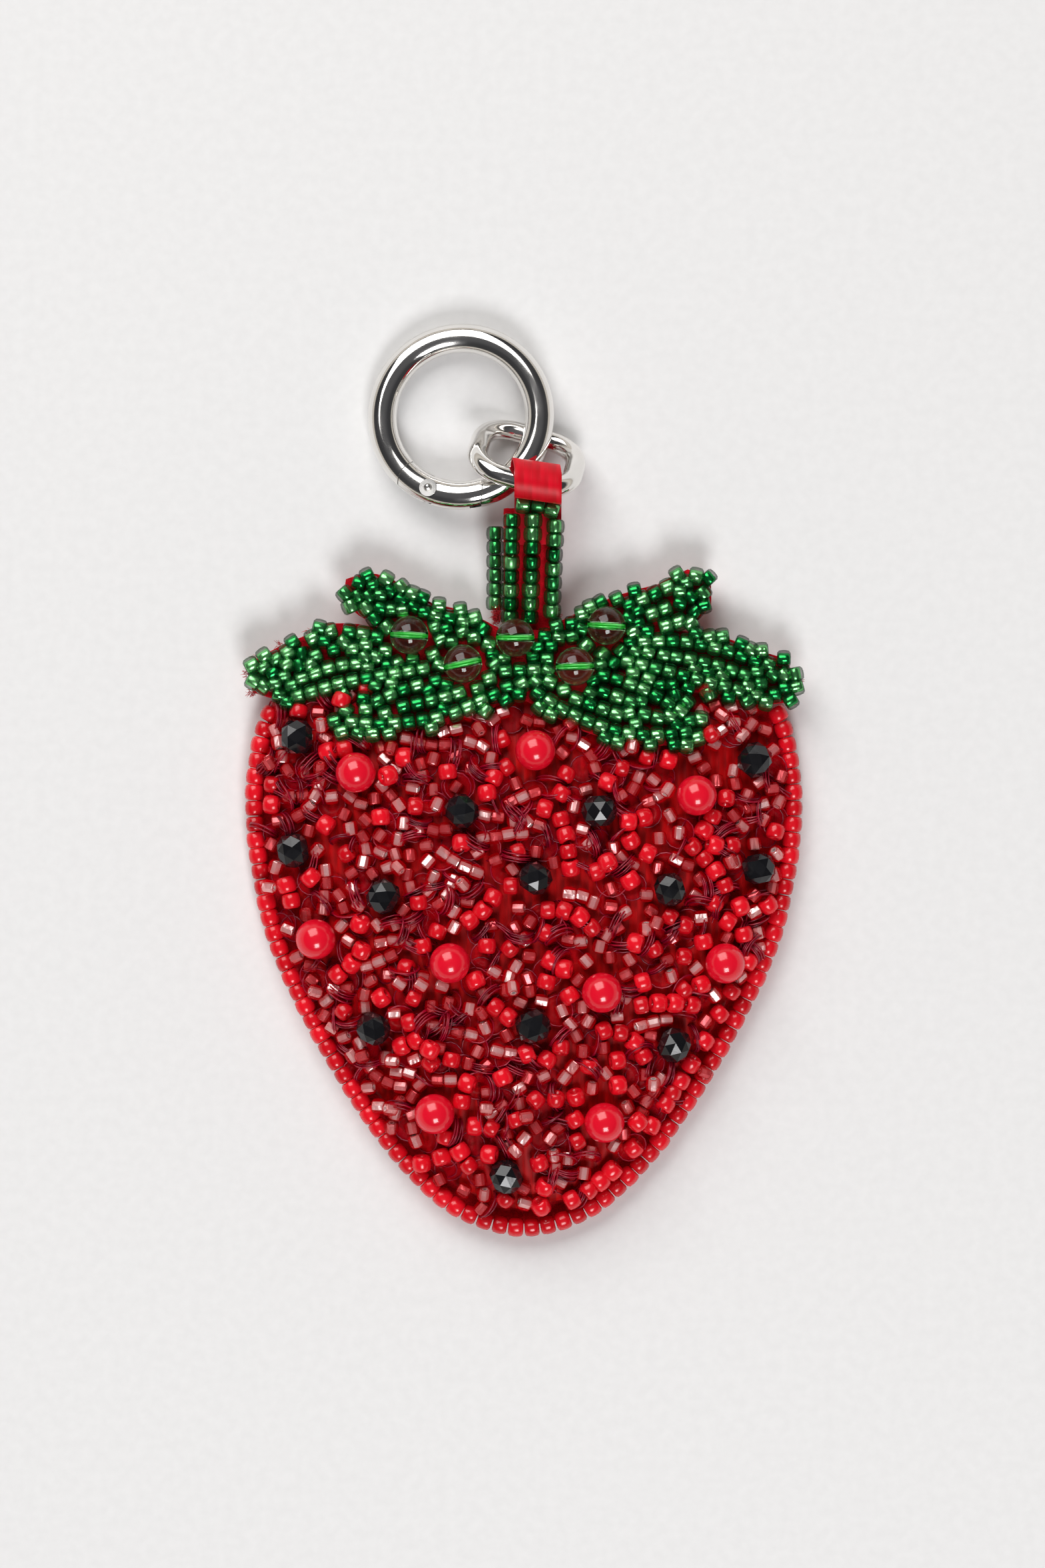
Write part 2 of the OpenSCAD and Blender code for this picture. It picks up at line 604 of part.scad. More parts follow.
module gate_zone(grow) {
    drum(ear_reach + grow);
    intersection() {
        drum(latch_reach + grow);
        ahead(1, through);
    }
}
module tongue_block(t, end) {
    drum(end, t);
    intersection() {
        drum(2 * ear_reach, t);
        ahead(-1, t);
    }
}
module ring_frame() color([0.80, 0.80, 0.79]) ring_set() difference() {
    ring_tube();
    difference() {
        at_rivet() gate_zone(seam);
        at_rivet() tongue_block(tongue_thickness, tongue_end);
        difference() {
            at_latch() translate([-nose_half, -2 * nose_length, -nose_half])
                cube([2 * nose_half, 4 * nose_length, 2 * nose_half]);
            at_rivet() drum(latch_reach - nose_length);
        }
    }
    at_rivet() drum(rivet_radius);
}

module gate_rivet() color([0.70, 0.70, 0.69]) ring_set() at_rivet()
    difference() {
        drum(rivet_radius, 2 * rivet_half);
        for (side = [-1, 1])
            translate([0, 0, side * (rivet_half + dish_rise)])
                sphere(r = dish_radius, $fn = small);
    }

module gate() color([0.80, 0.80, 0.79]) ring_set() difference() {
    intersection() {
        ring_tube();
        at_rivet() gate_zone(0);
    }
    at_rivet() tongue_block(tongue_thickness + 2 * slot_gap,
        tongue_end + 3 * slot_gap);
    at_rivet() drum(rivet_radius + rivet_run);
    difference() {
        at_latch() translate([-nose_half - channel_gap, -2 * nose_length,
            -nose_half - channel_gap])
            cube([through, 4 * nose_length,
                2 * (nose_half + channel_gap)]);
        at_rivet() drum(latch_reach - nose_length - seam);
    }
}

back_cover();
stuffing();
front_cover();
seed_bead_field();
edge_seed_beads();
black_faceted_beads();
red_round_beads();
green_round_beads();
calyx_felt();
calyx_centre_beads();
left_leaf_beads();
upper_left_leaf_beads();
lower_left_leaf_beads();
right_leaf_beads();
upper_right_leaf_beads();
lower_right_leaf_beads();
stem_felt();
stem_side_beads();
stem_front_beads();
stem_top_beads();
ribbon_tails();
ribbon_loop();
oval_link();
ring_frame();
gate_rivet();
gate();
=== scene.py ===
"""Beaded strawberry bag charm: padded body, sewn beads and sequins, felt
leaves, satin ribbon, oval link and spring-gate ring, on a pale table."""

import logging
import math
import random
from dataclasses import dataclass, field
from enum import Enum

import bmesh
import bpy
import numpy as np
from mathutils import Matrix, Vector
from mathutils.bvhtree import BVHTree


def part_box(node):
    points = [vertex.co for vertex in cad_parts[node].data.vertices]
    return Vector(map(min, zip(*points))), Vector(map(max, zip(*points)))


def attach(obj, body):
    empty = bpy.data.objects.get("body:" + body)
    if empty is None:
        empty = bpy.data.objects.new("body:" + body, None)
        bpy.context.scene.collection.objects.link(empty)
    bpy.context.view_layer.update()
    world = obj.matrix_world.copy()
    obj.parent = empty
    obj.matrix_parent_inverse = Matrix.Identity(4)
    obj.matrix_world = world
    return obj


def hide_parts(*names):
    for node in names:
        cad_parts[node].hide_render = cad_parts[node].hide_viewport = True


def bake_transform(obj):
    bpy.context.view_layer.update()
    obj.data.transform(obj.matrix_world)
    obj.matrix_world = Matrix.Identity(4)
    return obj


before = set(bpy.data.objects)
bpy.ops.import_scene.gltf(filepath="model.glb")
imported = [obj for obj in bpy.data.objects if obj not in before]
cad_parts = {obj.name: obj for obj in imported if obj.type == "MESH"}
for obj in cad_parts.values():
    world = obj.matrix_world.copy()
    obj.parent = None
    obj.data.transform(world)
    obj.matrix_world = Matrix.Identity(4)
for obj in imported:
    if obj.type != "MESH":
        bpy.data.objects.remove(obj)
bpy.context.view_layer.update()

log = logging.getLogger("charm")
MM = 0.001
PLUMB = 0.1
Point = tuple[float, float, float]
Colour = tuple[float, float, float]


class BeadKind(Enum):
    """The small things that are sewn on the satin."""

    OPAQUE = "opaque"
    LINED = "lined"
    SEQUIN = "sequin"


class Shading(Enum):
    """How the faces of a template are lit."""

    SMOOTH = "smooth"
    FACETED = "faceted"


# ---- shader groups and finishes ------------------------------------------


class Effect:
    """Builds and hands out the shader node groups that materials share."""

    _made: dict[str, bpy.types.NodeTree] = {}

    @classmethod
    def get(cls, name: str) -> bpy.types.NodeTree:
        """Return a shared group, built on first use.

        Args:
            name: One of "weave", "felt" or "wear".

        Returns:
            The shader node tree.
        """
        if name not in cls._made:
            cls._made[name] = getattr(cls, "_" + name)()
        return cls._made[name]

    @staticmethod
    def _shell(
        name: str, inputs: dict[str, float], outputs: list[str]
    ) -> tuple[bpy.types.NodeTree, bpy.types.Node, bpy.types.Node]:
        """Start a group with float inputs and float or vector outputs.

        Args:
            name: Name of the group.
            inputs: Input names and default values.
            outputs: Output names.

        Returns:
            The tree, its input node and its output node.
        """
        tree = bpy.data.node_groups.new(name, "ShaderNodeTree")
        tree.interface.new_socket(
            "Position", in_out="INPUT", socket_type="NodeSocketVector"
        )
        for key, value in inputs.items():
            socket = tree.interface.new_socket(
                key, in_out="INPUT", socket_type="NodeSocketFloat"
            )
            socket.default_value = value
        for key in outputs:
            tree.interface.new_socket(
                key, in_out="OUTPUT", socket_type="NodeSocketFloat"
            )
        a = tree.nodes.new("NodeGroupInput")
        b = tree.nodes.new("NodeGroupOutput")
        return tree, a, b

    @staticmethod
    def _math(
        tree: bpy.types.NodeTree, kind: str, a: object, b: object
    ) -> bpy.types.NodeSocket:
        """Add a Math node fed by sockets or numbers.

        Args:
            tree: The tree to add to.
            kind: The Math node's operation.
            a: First socket or number.
            b: Second socket or number.

        Returns:
            The node's output socket.
        """
        node = tree.nodes.new("ShaderNodeMath")
        node.operation = kind
        for i, value in enumerate((a, b)):
            if isinstance(value, bpy.types.NodeSocket):
                tree.links.new(value, node.inputs[i])
            else:
                node.inputs[i].default_value = value
        return node.outputs[0]

    @staticmethod
    def _noise(
        tree: bpy.types.NodeTree,
        place: bpy.types.NodeSocket,
        scale: object,
        detail: float,
        distortion: float = 0.0,
    ) -> bpy.types.NodeSocket:
        """Add a noise texture.

        Args:
            tree: The tree to add to.
            place: The socket that it is laid by.
            scale: A socket or a number.
            detail: Octaves.
            distortion: How much it is warped.

        Returns:
            The noise's value.
        """
        node = tree.nodes.new("ShaderNodeTexNoise")
        node.inputs["Detail"].default_value = detail
        node.inputs["Distortion"].default_value = distortion
        if isinstance(scale, bpy.types.NodeSocket):
            tree.links.new(scale, node.inputs["Scale"])
        else:
            node.inputs["Scale"].default_value = scale
        tree.links.new(place, node.inputs["Vector"])
        return node.outputs["Fac"]

    @classmethod
    def _weave(cls) -> bpy.types.NodeTree:
        """Return satin: long floats across, with a soft unevenness and painted
        shade in its low places.
        """
        tree, a, b = cls._shell(
            "Weave",
            {"Threads": 5200.0, "Float length": 0.22, "Unevenness": 0.35},
            ["Height", "Shade"],
        )
        split = tree.nodes.new("ShaderNodeSeparateXYZ")
        tree.links.new(a.outputs["Position"], split.inputs[0])
        x = cls._math(
            tree, "MULTIPLY", split.outputs[0], a.outputs["Threads"]
        )
        y = cls._math(
            tree, "MULTIPLY", split.outputs[1], a.outputs["Threads"]
        )
        run = cls._math(tree, "MULTIPLY", y, a.outputs["Float length"])
        step = cls._math(tree, "FLOOR", cls._math(tree, "DIVIDE", x, 6.283), 0)
        shift = cls._math(tree, "MULTIPLY", step, 2.4)
        across = cls._math(tree, "SINE", x, 0)
        along = cls._math(tree, "SINE", cls._math(tree, "ADD", run, shift), 0)
        thread = cls._math(
            tree, "ADD", cls._math(tree, "MULTIPLY", across, 0.6), along
        )
        noise = cls._noise(tree, a.outputs["Position"], 260, 3)
        rough = cls._math(
            tree,
            "MULTIPLY",
            cls._math(tree, "SUBTRACT", noise, 0.5),
            a.outputs["Unevenness"],
        )
        height = cls._math(
            tree, "ADD", cls._math(tree, "MULTIPLY", thread, 0.25), rough
        )
        tree.links.new(height, b.inputs["Height"])
        # Shade output: painted shade, darker where the threads lie low and
        # lighter on their crests, over a random unevenness of tone.
        shade = cls._math(
            tree, "ADD", cls._math(tree, "MULTIPLY", height, 0.5), 0.5
        )
        tree.links.new(shade, b.inputs["Shade"])
        return tree

    @classmethod
    def _felt(cls) -> bpy.types.NodeTree:
        """Return matted fibres: fine crossed noise, with painted shade in its
        low places.
        """
        tree, a, b = cls._shell(
            "Felt", {"Fibre": 2600.0, "Clumps": 300.0}, ["Height", "Shade"]
        )
        place = a.outputs["Position"]
        fine = cls._noise(tree, place, a.outputs["Fibre"], 4, 1.6)
        coarse = cls._noise(tree, place, a.outputs["Clumps"], 2)
        height = cls._math(
            tree,
            "ADD",
            cls._math(tree, "MULTIPLY", fine, 0.7),
            cls._math(tree, "MULTIPLY", coarse, 0.5),
        )
        tree.links.new(height, b.inputs["Height"])
        # Shade output is the relief height: painted shade, darker in the low
        # places of the felt, over a random unevenness of tone.
        tree.links.new(height, b.inputs["Shade"])
        return tree

    @classmethod
    def _wear(cls) -> bpy.types.NodeTree:
        """Return faint smears, dust and hairlines for hard surfaces."""
        tree, a, b = cls._shell(
            "Wear", {"Smears": 180.0, "Hairlines": 900.0}, ["Mask", "Height"]
        )
        smear = cls._noise(tree, a.outputs["Position"], a.outputs["Smears"], 5)
        stretch = tree.nodes.new("ShaderNodeMapping")
        stretch.inputs["Scale"].default_value = (1.0, 0.08, 1.0)
        stretch.inputs["Rotation"].default_value = (0.3, 0.2, 0.7)
        tree.links.new(a.outputs["Position"], stretch.inputs["Vector"])
        lines = cls._noise(tree, stretch.outputs[0], a.outputs["Hairlines"], 2)
        tree.links.new(smear, b.inputs["Mask"])
        tree.links.new(lines, b.inputs["Height"])
        return tree


class FinishBase:
    """Shared steps of every finish."""

    name: str

    def _open(
        self,
    ) -> tuple[bpy.types.Material, bpy.types.NodeTree, bpy.types.Node]:
        """Return a new material, its tree and its Principled node."""
        mat = bpy.data.materials.new(self.name)
        mat.use_nodes = True
        tree = mat.node_tree
        shader = tree.nodes["Principled BSDF"]
        return mat, tree, shader

    @staticmethod
    def _place(
        tree: bpy.types.NodeTree, effect: str, **values: float
    ) -> bpy.types.Node:
        """Add a shared effect on Object coordinates.

        Args:
            tree: The material's tree.
            effect: Name of the shared effect.
            **values: Values for the effect's inputs, with _ for a space.

        Returns:
            The group node.
        """
        node = tree.nodes.new("ShaderNodeGroup")
        node.node_tree = Effect.get(effect)
        where = tree.nodes.new("ShaderNodeTexCoord")
        tree.links.new(where.outputs["Object"], node.inputs["Position"])
        for key, value in values.items():
            node.inputs[key.replace("_", " ")].default_value = value
        return node

    @staticmethod
    def _ramp(
        tree: bpy.types.NodeTree,
        factor: bpy.types.NodeSocket,
        stops: list[tuple[float, Colour]],
    ) -> bpy.types.NodeSocket:
        """Add a colour ramp.

        Args:
            tree: The material's tree.
            factor: The socket that drives the ramp.
            stops: Positions and colours.

        Returns:
            The ramp's colour socket.
        """
        node = tree.nodes.new("ShaderNodeValToRGB")
        ramp = node.color_ramp
        while len(ramp.elements) < len(stops):
            ramp.elements.new(0.5)
        for element, (place, colour) in zip(ramp.elements, stops):
            element.position = place
            element.color = (*colour, 1.0)
        tree.links.new(factor, node.inputs["Fac"])
        return node.outputs["Color"]

    @staticmethod
    def _bump(
        tree: bpy.types.NodeTree,
        shader: bpy.types.Node,
        height: bpy.types.NodeSocket,
        strength: float,
        distance: float,
    ) -> None:
        """Feed a height into the shader's normal.

        Args:
            tree: The material's tree.
            shader: The Principled node.
            height: The height socket.
            strength: Bump strength.
            distance: Bump distance in metres.
        """
        node = tree.nodes.new("ShaderNodeBump")
        node.inputs["Strength"].default_value = strength
        node.inputs["Distance"].default_value = distance
        tree.links.new(height, node.inputs["Height"])
        tree.links.new(node.outputs["Normal"], shader.inputs["Normal"])

    @staticmethod
    def _range(
        tree: bpy.types.NodeTree,
        value: bpy.types.NodeSocket,
        target: bpy.types.NodeSocket,
        low: float,
        high: float,
        reach: tuple[float, float] = (0.0, 1.0),
    ) -> None:
        """Map a value onto a range and feed it to a socket.

        Args:
            tree: The material's tree.
            value: The socket that is mapped.
            target: The socket that it feeds.
            low: Lowest result.
            high: Highest result.
            reach: The part of the value's range that is mapped.
        """
        node = tree.nodes.new("ShaderNodeMapRange")
        given = zip(
            ("From Min", "From Max", "To Min", "To Max"), (*reach, low, high)
        )
        for key, number in given:
            node.inputs[key].default_value = number
        tree.links.new(value, node.inputs["Value"])
        tree.links.new(node.outputs[0], target)

    @staticmethod
    def _tint(tree: bpy.types.NodeTree) -> bpy.types.NodeSocket:
        """Return the bead-by-bead shade that the sowing stores."""
        node = tree.nodes.new("ShaderNodeAttribute")
        node.attribute_name = "tint"
        return node.outputs["Fac"]


@dataclass(frozen=True)
class GlassFinish(FinishBase):
    """Thin clear coloured glass or film that lets its lining show."""

    name: str
    light: Colour
    deep: Colour
    roughness: float = 0.06
    body: float = 0.45
    rim: float = 0.95
    coat: float = 1.0
    gloss: float = 0.5
    varied: bool = True

    def build(self) -> bpy.types.Material:
        """Return the see-through material."""
        mat, tree, shader = self._open()
        wear = self._place(tree, "wear", Smears=400.0, Hairlines=1500.0)
        source = self._tint(tree) if self.varied else wear.outputs["Mask"]
        colour = self._ramp(
            tree, source, [(0.0, self.deep), (1.0, self.light)]
        )
        tree.links.new(colour, shader.inputs["Base Color"])
        self._range(
            tree,
            wear.outputs["Mask"],
            shader.inputs["Roughness"],
            self.roughness,
            self.roughness * 3,
        )
        shader.inputs["Coat Weight"].default_value = self.coat
        shader.inputs["Coat Roughness"].default_value = 0.03
        shader.inputs["Specular IOR Level"].default_value = self.gloss
        edge = tree.nodes.new("ShaderNodeLayerWeight")
        edge.inputs["Blend"].default_value = 0.35
        self._range(
            tree,
            edge.outputs["Facing"],
            shader.inputs["Alpha"],
            self.body,
            self.rim,
        )
        return mat


@dataclass(frozen=True)
class ClearFinish(FinishBase):
    """Solid clear glass, as of a round bead."""

    name: str
    light: Colour
    deep: Colour
    roughness: float = 0.02
    ior: float = 1.5

    def build(self) -> bpy.types.Material:
        """Return the clear glass material."""
        mat, tree, shader = self._open()
        shader.inputs["Transmission Weight"].default_value = 1.0
        shader.inputs["IOR"].default_value = self.ior
        wear = self._place(tree, "wear", Smears=400.0, Hairlines=1500.0)
        colour = self._ramp(
            tree, wear.outputs["Mask"], [(0.3, self.deep), (0.7, self.light)]
        )
        tree.links.new(colour, shader.inputs["Base Color"])
        self._range(
            tree,
            wear.outputs["Mask"],
            shader.inputs["Roughness"],
            self.roughness,
            self.roughness * 3,
        )
        return mat


@dataclass(frozen=True)
class EnamelFinish(FinishBase):
    """Opaque glossy glass."""

    name: str
    light: Colour
    deep: Colour
    roughness: float = 0.14
    coat: float = 0.6
    bump: float = 0.08
    varied: bool = True

    def build(self) -> bpy.types.Material:
        """Return the opaque glass material."""
        mat, tree, shader = self._open()
        wear = self._place(tree, "wear", Smears=500.0, Hairlines=1400.0)
        source = self._tint(tree) if self.varied else wear.outputs["Mask"]
        colour = self._ramp(
            tree, source, [(0.0, self.deep), (1.0, self.light)]
        )
        tree.links.new(colour, shader.inputs["Base Color"])
        self._range(
            tree,
            wear.outputs["Mask"],
            shader.inputs["Roughness"],
            self.roughness * 0.6,
            self.roughness * 1.6,
        )
        shader.inputs["Coat Weight"].default_value = self.coat
        shader.inputs["Coat Roughness"].default_value = 0.05
        self._bump(tree, shader, wear.outputs["Mask"], self.bump, 0.0002)
        return mat


@dataclass(frozen=True)
class MetalFinish(FinishBase):
    """Plated or foiled metal."""

    name: str
    light: Colour
    deep: Colour
    roughness: float = 0.1
    bump: float = 0.02
    metal: float = 1.0
    varied: bool = False

    def build(self) -> bpy.types.Material:
        """Return the metal material."""
        mat, tree, shader = self._open()
        shader.inputs["Metallic"].default_value = self.metal
        wear = self._place(tree, "wear", Smears=220.0, Hairlines=700.0)
        source = self._tint(tree) if self.varied else wear.outputs["Mask"]
        colour = self._ramp(
            tree, source, [(0.25, self.deep), (0.75, self.light)]
        )
        tree.links.new(colour, shader.inputs["Base Color"])
        self._range(
            tree,
            wear.outputs["Mask"],
            shader.inputs["Roughness"],
            self.roughness * 0.6,
            self.roughness * 1.8,
            (0.35, 0.75),
        )
        self._bump(tree, shader, wear.outputs["Height"], self.bump, 0.0002)
        return mat


@dataclass(frozen=True)
class ClothFinish(FinishBase):
    """Woven satin or matted felt."""

    name: str
    light: Colour
    deep: Colour
    effect: str = "weave"
    roughness: float = 0.4
    sheen: float = 0.4
    gloss: float = 0.5
    bump: float = 0.3
    depth: float = 0.0002

    def build(self) -> bpy.types.Material:
        """Return the cloth material."""
        mat, tree, shader = self._open()
        cloth = self._place(tree, self.effect)
        # The base colour follows the relief: painted shade, darker in the low
        # places of the weave or felt, over a random unevenness of tone.
        colour = self._ramp(
            tree,
            cloth.outputs["Shade"],
            [(0.3, self.deep), (0.75, self.light)],
        )
        tree.links.new(colour, shader.inputs["Base Color"])
        shader.inputs["Roughness"].default_value = self.roughness
        shader.inputs["Sheen Weight"].default_value = self.sheen
        shader.inputs["Specular IOR Level"].default_value = self.gloss
        shader.inputs["Sheen Tint"].default_value = (1.0, 0.5, 0.5, 1.0)
        self._bump(
            tree, shader, cloth.outputs["Height"], self.bump, self.depth
        )
        return mat


@dataclass
class Palette:
    """Every finish of the charm, built once."""

    made: dict[str, bpy.types.Material] = field(default_factory=dict)

    def __post_init__(self) -> None:
        """Build the finishes."""
        finishes: list[FinishBase] = [
            EnamelFinish(
                "red opaque glass", (0.84, 0.006, 0.018), (0.56, 0.002, 0.008),
                roughness=0.2, coat=0.1,
            ),
            EnamelFinish(
                "red round glass", (0.82, 0.006, 0.026), (0.74, 0.004, 0.020),
                roughness=0.16, coat=0.3, bump=0.02, varied=False,
            ),
            EnamelFinish(
                "black cut glass", (0.010, 0.010, 0.012),
                (0.003, 0.003, 0.004), roughness=0.08, coat=0.0, bump=0.03,
                varied=False,
            ),
            GlassFinish(
                "red clear glass", (0.74, 0.0, 0.006), (0.42, 0.0, 0.002),
                body=0.24, rim=0.95, coat=0.0, gloss=0.16,
            ),
            MetalFinish(
                "rose foil", (1.0, 0.90, 0.88), (0.95, 0.16, 0.18),
                roughness=0.22, bump=1.0, metal=0.6, varied=True,
            ),
            GlassFinish(
                "green clear glass", (0.0, 0.070, 0.014), (0.0, 0.010, 0.002),
                body=0.2, rim=1.0, coat=0.0, gloss=0.2,
            ),
            MetalFinish(
                "silver foil", (0.36, 1.0, 0.38), (0.02, 0.44, 0.10),
                roughness=0.2, bump=1.0, metal=0.9, varied=True,
            ),
            ClearFinish(
                "round green glass", (0.52, 0.96, 0.54), (0.40, 0.86, 0.44),
            ),
            EnamelFinish(
                "green core", (0.07, 0.62, 0.10), (0.03, 0.44, 0.06),
                varied=False,
            ),
            EnamelFinish(
                "sequin edge", (0.36, 0.0, 0.020), (0.13, 0.0, 0.012),
                roughness=0.3, coat=0.0, bump=0.02,
            ),
            GlassFinish(
                "red sequin film", (0.80, 0.0, 0.008), (0.44, 0.0, 0.012),
                roughness=0.16, body=0.14, rim=0.5, coat=0.0, gloss=0.16,
            ),
            ClothFinish(
                "red satin", (0.60, 0.0, 0.002), (0.28, 0.0, 0.001),
                roughness=0.5, sheen=0.0, gloss=0.15, bump=0.8,
            ),
            ClothFinish(
                "red ribbon satin", (0.74, 0.0, 0.016), (0.52, 0.0, 0.008),
                roughness=0.42, sheen=0.0, gloss=0.25, bump=0.12,
            ),
            ClothFinish(
                "red felt", (0.66, 0.002, 0.012), (0.24, 0.0, 0.004),
                effect="felt", roughness=0.85, sheen=0.25, gloss=0.1, bump=0.6,
                depth=0.0004,
            ),
            MetalFinish(
                "bright plating", (0.86, 0.84, 0.81), (0.78, 0.76, 0.73),
            ),
            MetalFinish(
                "rivet plating", (0.70, 0.69, 0.67), (0.60, 0.59, 0.57),
                roughness=0.2,
            ),
        ]
        for finish in finishes:
            self.made[finish.name] = finish.build()

    def get(self, name: str) -> bpy.types.Material:
        """Return a finish by its name."""
        return self.made[name]

    def dress_node(self, node: str, name: str) -> None:
        """Put a finish on a CAD node that is kept.

        Args:
            node: Name of the node.
            name: Name of the finish.
        """
        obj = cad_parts[node]
        if not obj.material_slots:
            obj.data.materials.append(self.get(name))
        for slot in obj.material_slots:
            slot.material = self.get(name)


# ---- mesh helpers --------------------------------------------------------


def new_object(
    name: str, verts: list, faces: list, smooth: bool = True
) -> bpy.types.Object:
    """Make a mesh object at the origin.

    Args:
        name: Name of the object.
        verts: Points in metres.
        faces: Lists of point numbers.
        smooth: Whether the faces are smooth shaded.

    Returns:
        The linked object.
    """
    mesh = bpy.data.meshes.new(name)
    mesh.from_pydata([tuple(v) for v in verts], [], faces)
    mesh.validate()
    mesh.polygons.foreach_set("use_smooth", [smooth] * len(mesh.polygons))
    obj = bpy.data.objects.new(name, mesh)
    bpy.context.collection.objects.link(obj)
    return obj


def lathe(
    profile: list[tuple[float, float]], sides: int, stagger: float = 0.0
) -> tuple[list[Point], list[list[int]]]:
    """Turn a closed profile about Z into a ring-shaped solid.

    Args:
        profile: Radius and height of each point, in order round the wall.
        sides: Number of steps round the axis.
        stagger: Turn of each next row, as a part of one step.

    Returns:
        Points and faces.
    """
    verts: list[Point] = []
    for j, (r, z) in enumerate(profile):
        for i in range(sides):
            a = math.tau * (i + stagger * (j % 2)) / sides
            verts.append((r * math.cos(a), r * math.sin(a), z))
    faces = []
    rows = len(profile)
    for j in range(rows):
        k = (j + 1) % rows
        for i in range(sides):
            n = (i + 1) % sides
            a, b = j * sides + i, j * sides + n
            c, d = k * sides + n, k * sides + i
            if not stagger:
                faces.append([a, b, c, d])
            elif j % 2:
                faces += [[a, b, c], [a, c, d]]
            else:
                faces += [[a, b, d], [b, c, d]]
    return verts, faces


def face_out(obj: bpy.types.Object, merge: float = 1e-7) -> None:
    """Merge doubles and turn every face outwards.

    Args:
        obj: The mesh object.
        merge: Merge distance in metres.
    """
    bm = bmesh.new()
    bm.from_mesh(obj.data)
    bmesh.ops.remove_doubles(bm, verts=bm.verts, dist=merge)
    bmesh.ops.recalc_face_normals(bm, faces=bm.faces)
    bm.to_mesh(obj.data)
    bm.free()


def soften(obj: bpy.types.Object) -> None:
    """Shade every face of an object smooth."""
    faces = obj.data.polygons
    faces.foreach_set("use_smooth", [True] * len(faces))


def bake(obj: bpy.types.Object) -> bpy.types.Object:
    """Apply every modifier of an object to its mesh.

    Args:
        obj: The object.

    Returns:
        The same object with a plain mesh.
    """
    depsgraph = bpy.context.evaluated_depsgraph_get()
    mesh = bpy.data.meshes.new_from_object(obj.evaluated_get(depsgraph))
    obj.modifiers.clear()
    obj.data = mesh
    return obj


def node_arrays(node: str) -> tuple[np.ndarray, np.ndarray]:
    """Return a CAD node's merged points and triangles.

    Args:
        node: Name of the node.

    Returns:
        Points in metres, and triangles as rows of three point numbers.
    """
    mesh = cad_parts[node].data
    co = np.empty(len(mesh.vertices) * 3)
    mesh.vertices.foreach_get("co", co)
    co = co.reshape(-1, 3)
    mesh.calc_loop_triangles()
    tri = np.empty(len(mesh.loop_triangles) * 3, dtype=np.int64)
    mesh.loop_triangles.foreach_get("vertices", tri)
    keys = np.round(co / 2e-6).astype(np.int64)
    _, first, inverse = np.unique(
        keys, axis=0, return_index=True, return_inverse=True
    )
    inverse = np.asarray(inverse).reshape(-1)
    return co[first], inverse[tri].reshape(-1, 3)


def node_surface(node: str) -> BVHTree:
    """Return a search tree of a CAD node's surface."""
    co, tri = node_arrays(node)
    return BVHTree.FromPolygons(
        [Vector(p) for p in co], [tuple(int(i) for i in t) for t in tri]
    )


def drop_on(
    surface: BVHTree, x: float, y: float
) -> tuple[Vector, Vector] | None:
    """Find where a plumb line meets a surface.

    Args:
        surface: The search tree.
        x: Place across, in metres.
        y: Place along, in metres.

    Returns:
        The highest point there and its normal, or None beside the surface.
    """
    place, normal, _, _ = surface.ray_cast(
        Vector((x, y, PLUMB)), Vector((0, 0, -1))
    )
    return None if place is None else (place, normal)


@dataclass(frozen=True)
class Seat:
    """Where a bead sits: its middle and the way its hole points."""

    place: Vector
    axis: Vector


def read_seats(node: str) -> list[Seat]:
    """Find each bead of a CAD node of separate beads.

    Args:
        node: Name of the node.

    Returns:
        One seat for each bead.
    """
    co, tri = node_arrays(node)
    parent = np.arange(len(co))

    def root(i: int) -> int:
        """Return the group that point i belongs to."""
        while parent[i] != i:
            parent[i] = parent[parent[i]]
            i = parent[i]
        return i

    for a, b, c in tri:
        ra, rb, rc = root(a), root(b), root(c)
        parent[rb] = ra
        parent[rc] = ra
    groups: dict[int, list[int]] = {}
    for i in range(len(co)):
        groups.setdefault(root(i), []).append(i)
    seats = []
    for members in groups.values():
        p = co[members]
        low, high = p.min(axis=0), p.max(axis=0)
        middle = p.mean(axis=0)
        if len(members) < 8:
            continue
        values, vectors = np.linalg.eigh(np.cov((p - middle).T))
        odd = 0 if values[1] - values[0] > values[2] - values[1] else 2
        seats.append(
            Seat(Vector((low + high) / 2), Vector(vectors[:, odd]))
        )
    seats.sort(key=lambda s: (round(s.place.y, 6), round(s.place.x, 6)))
    return seats


# ---- bead templates and sowing -------------------------------------------


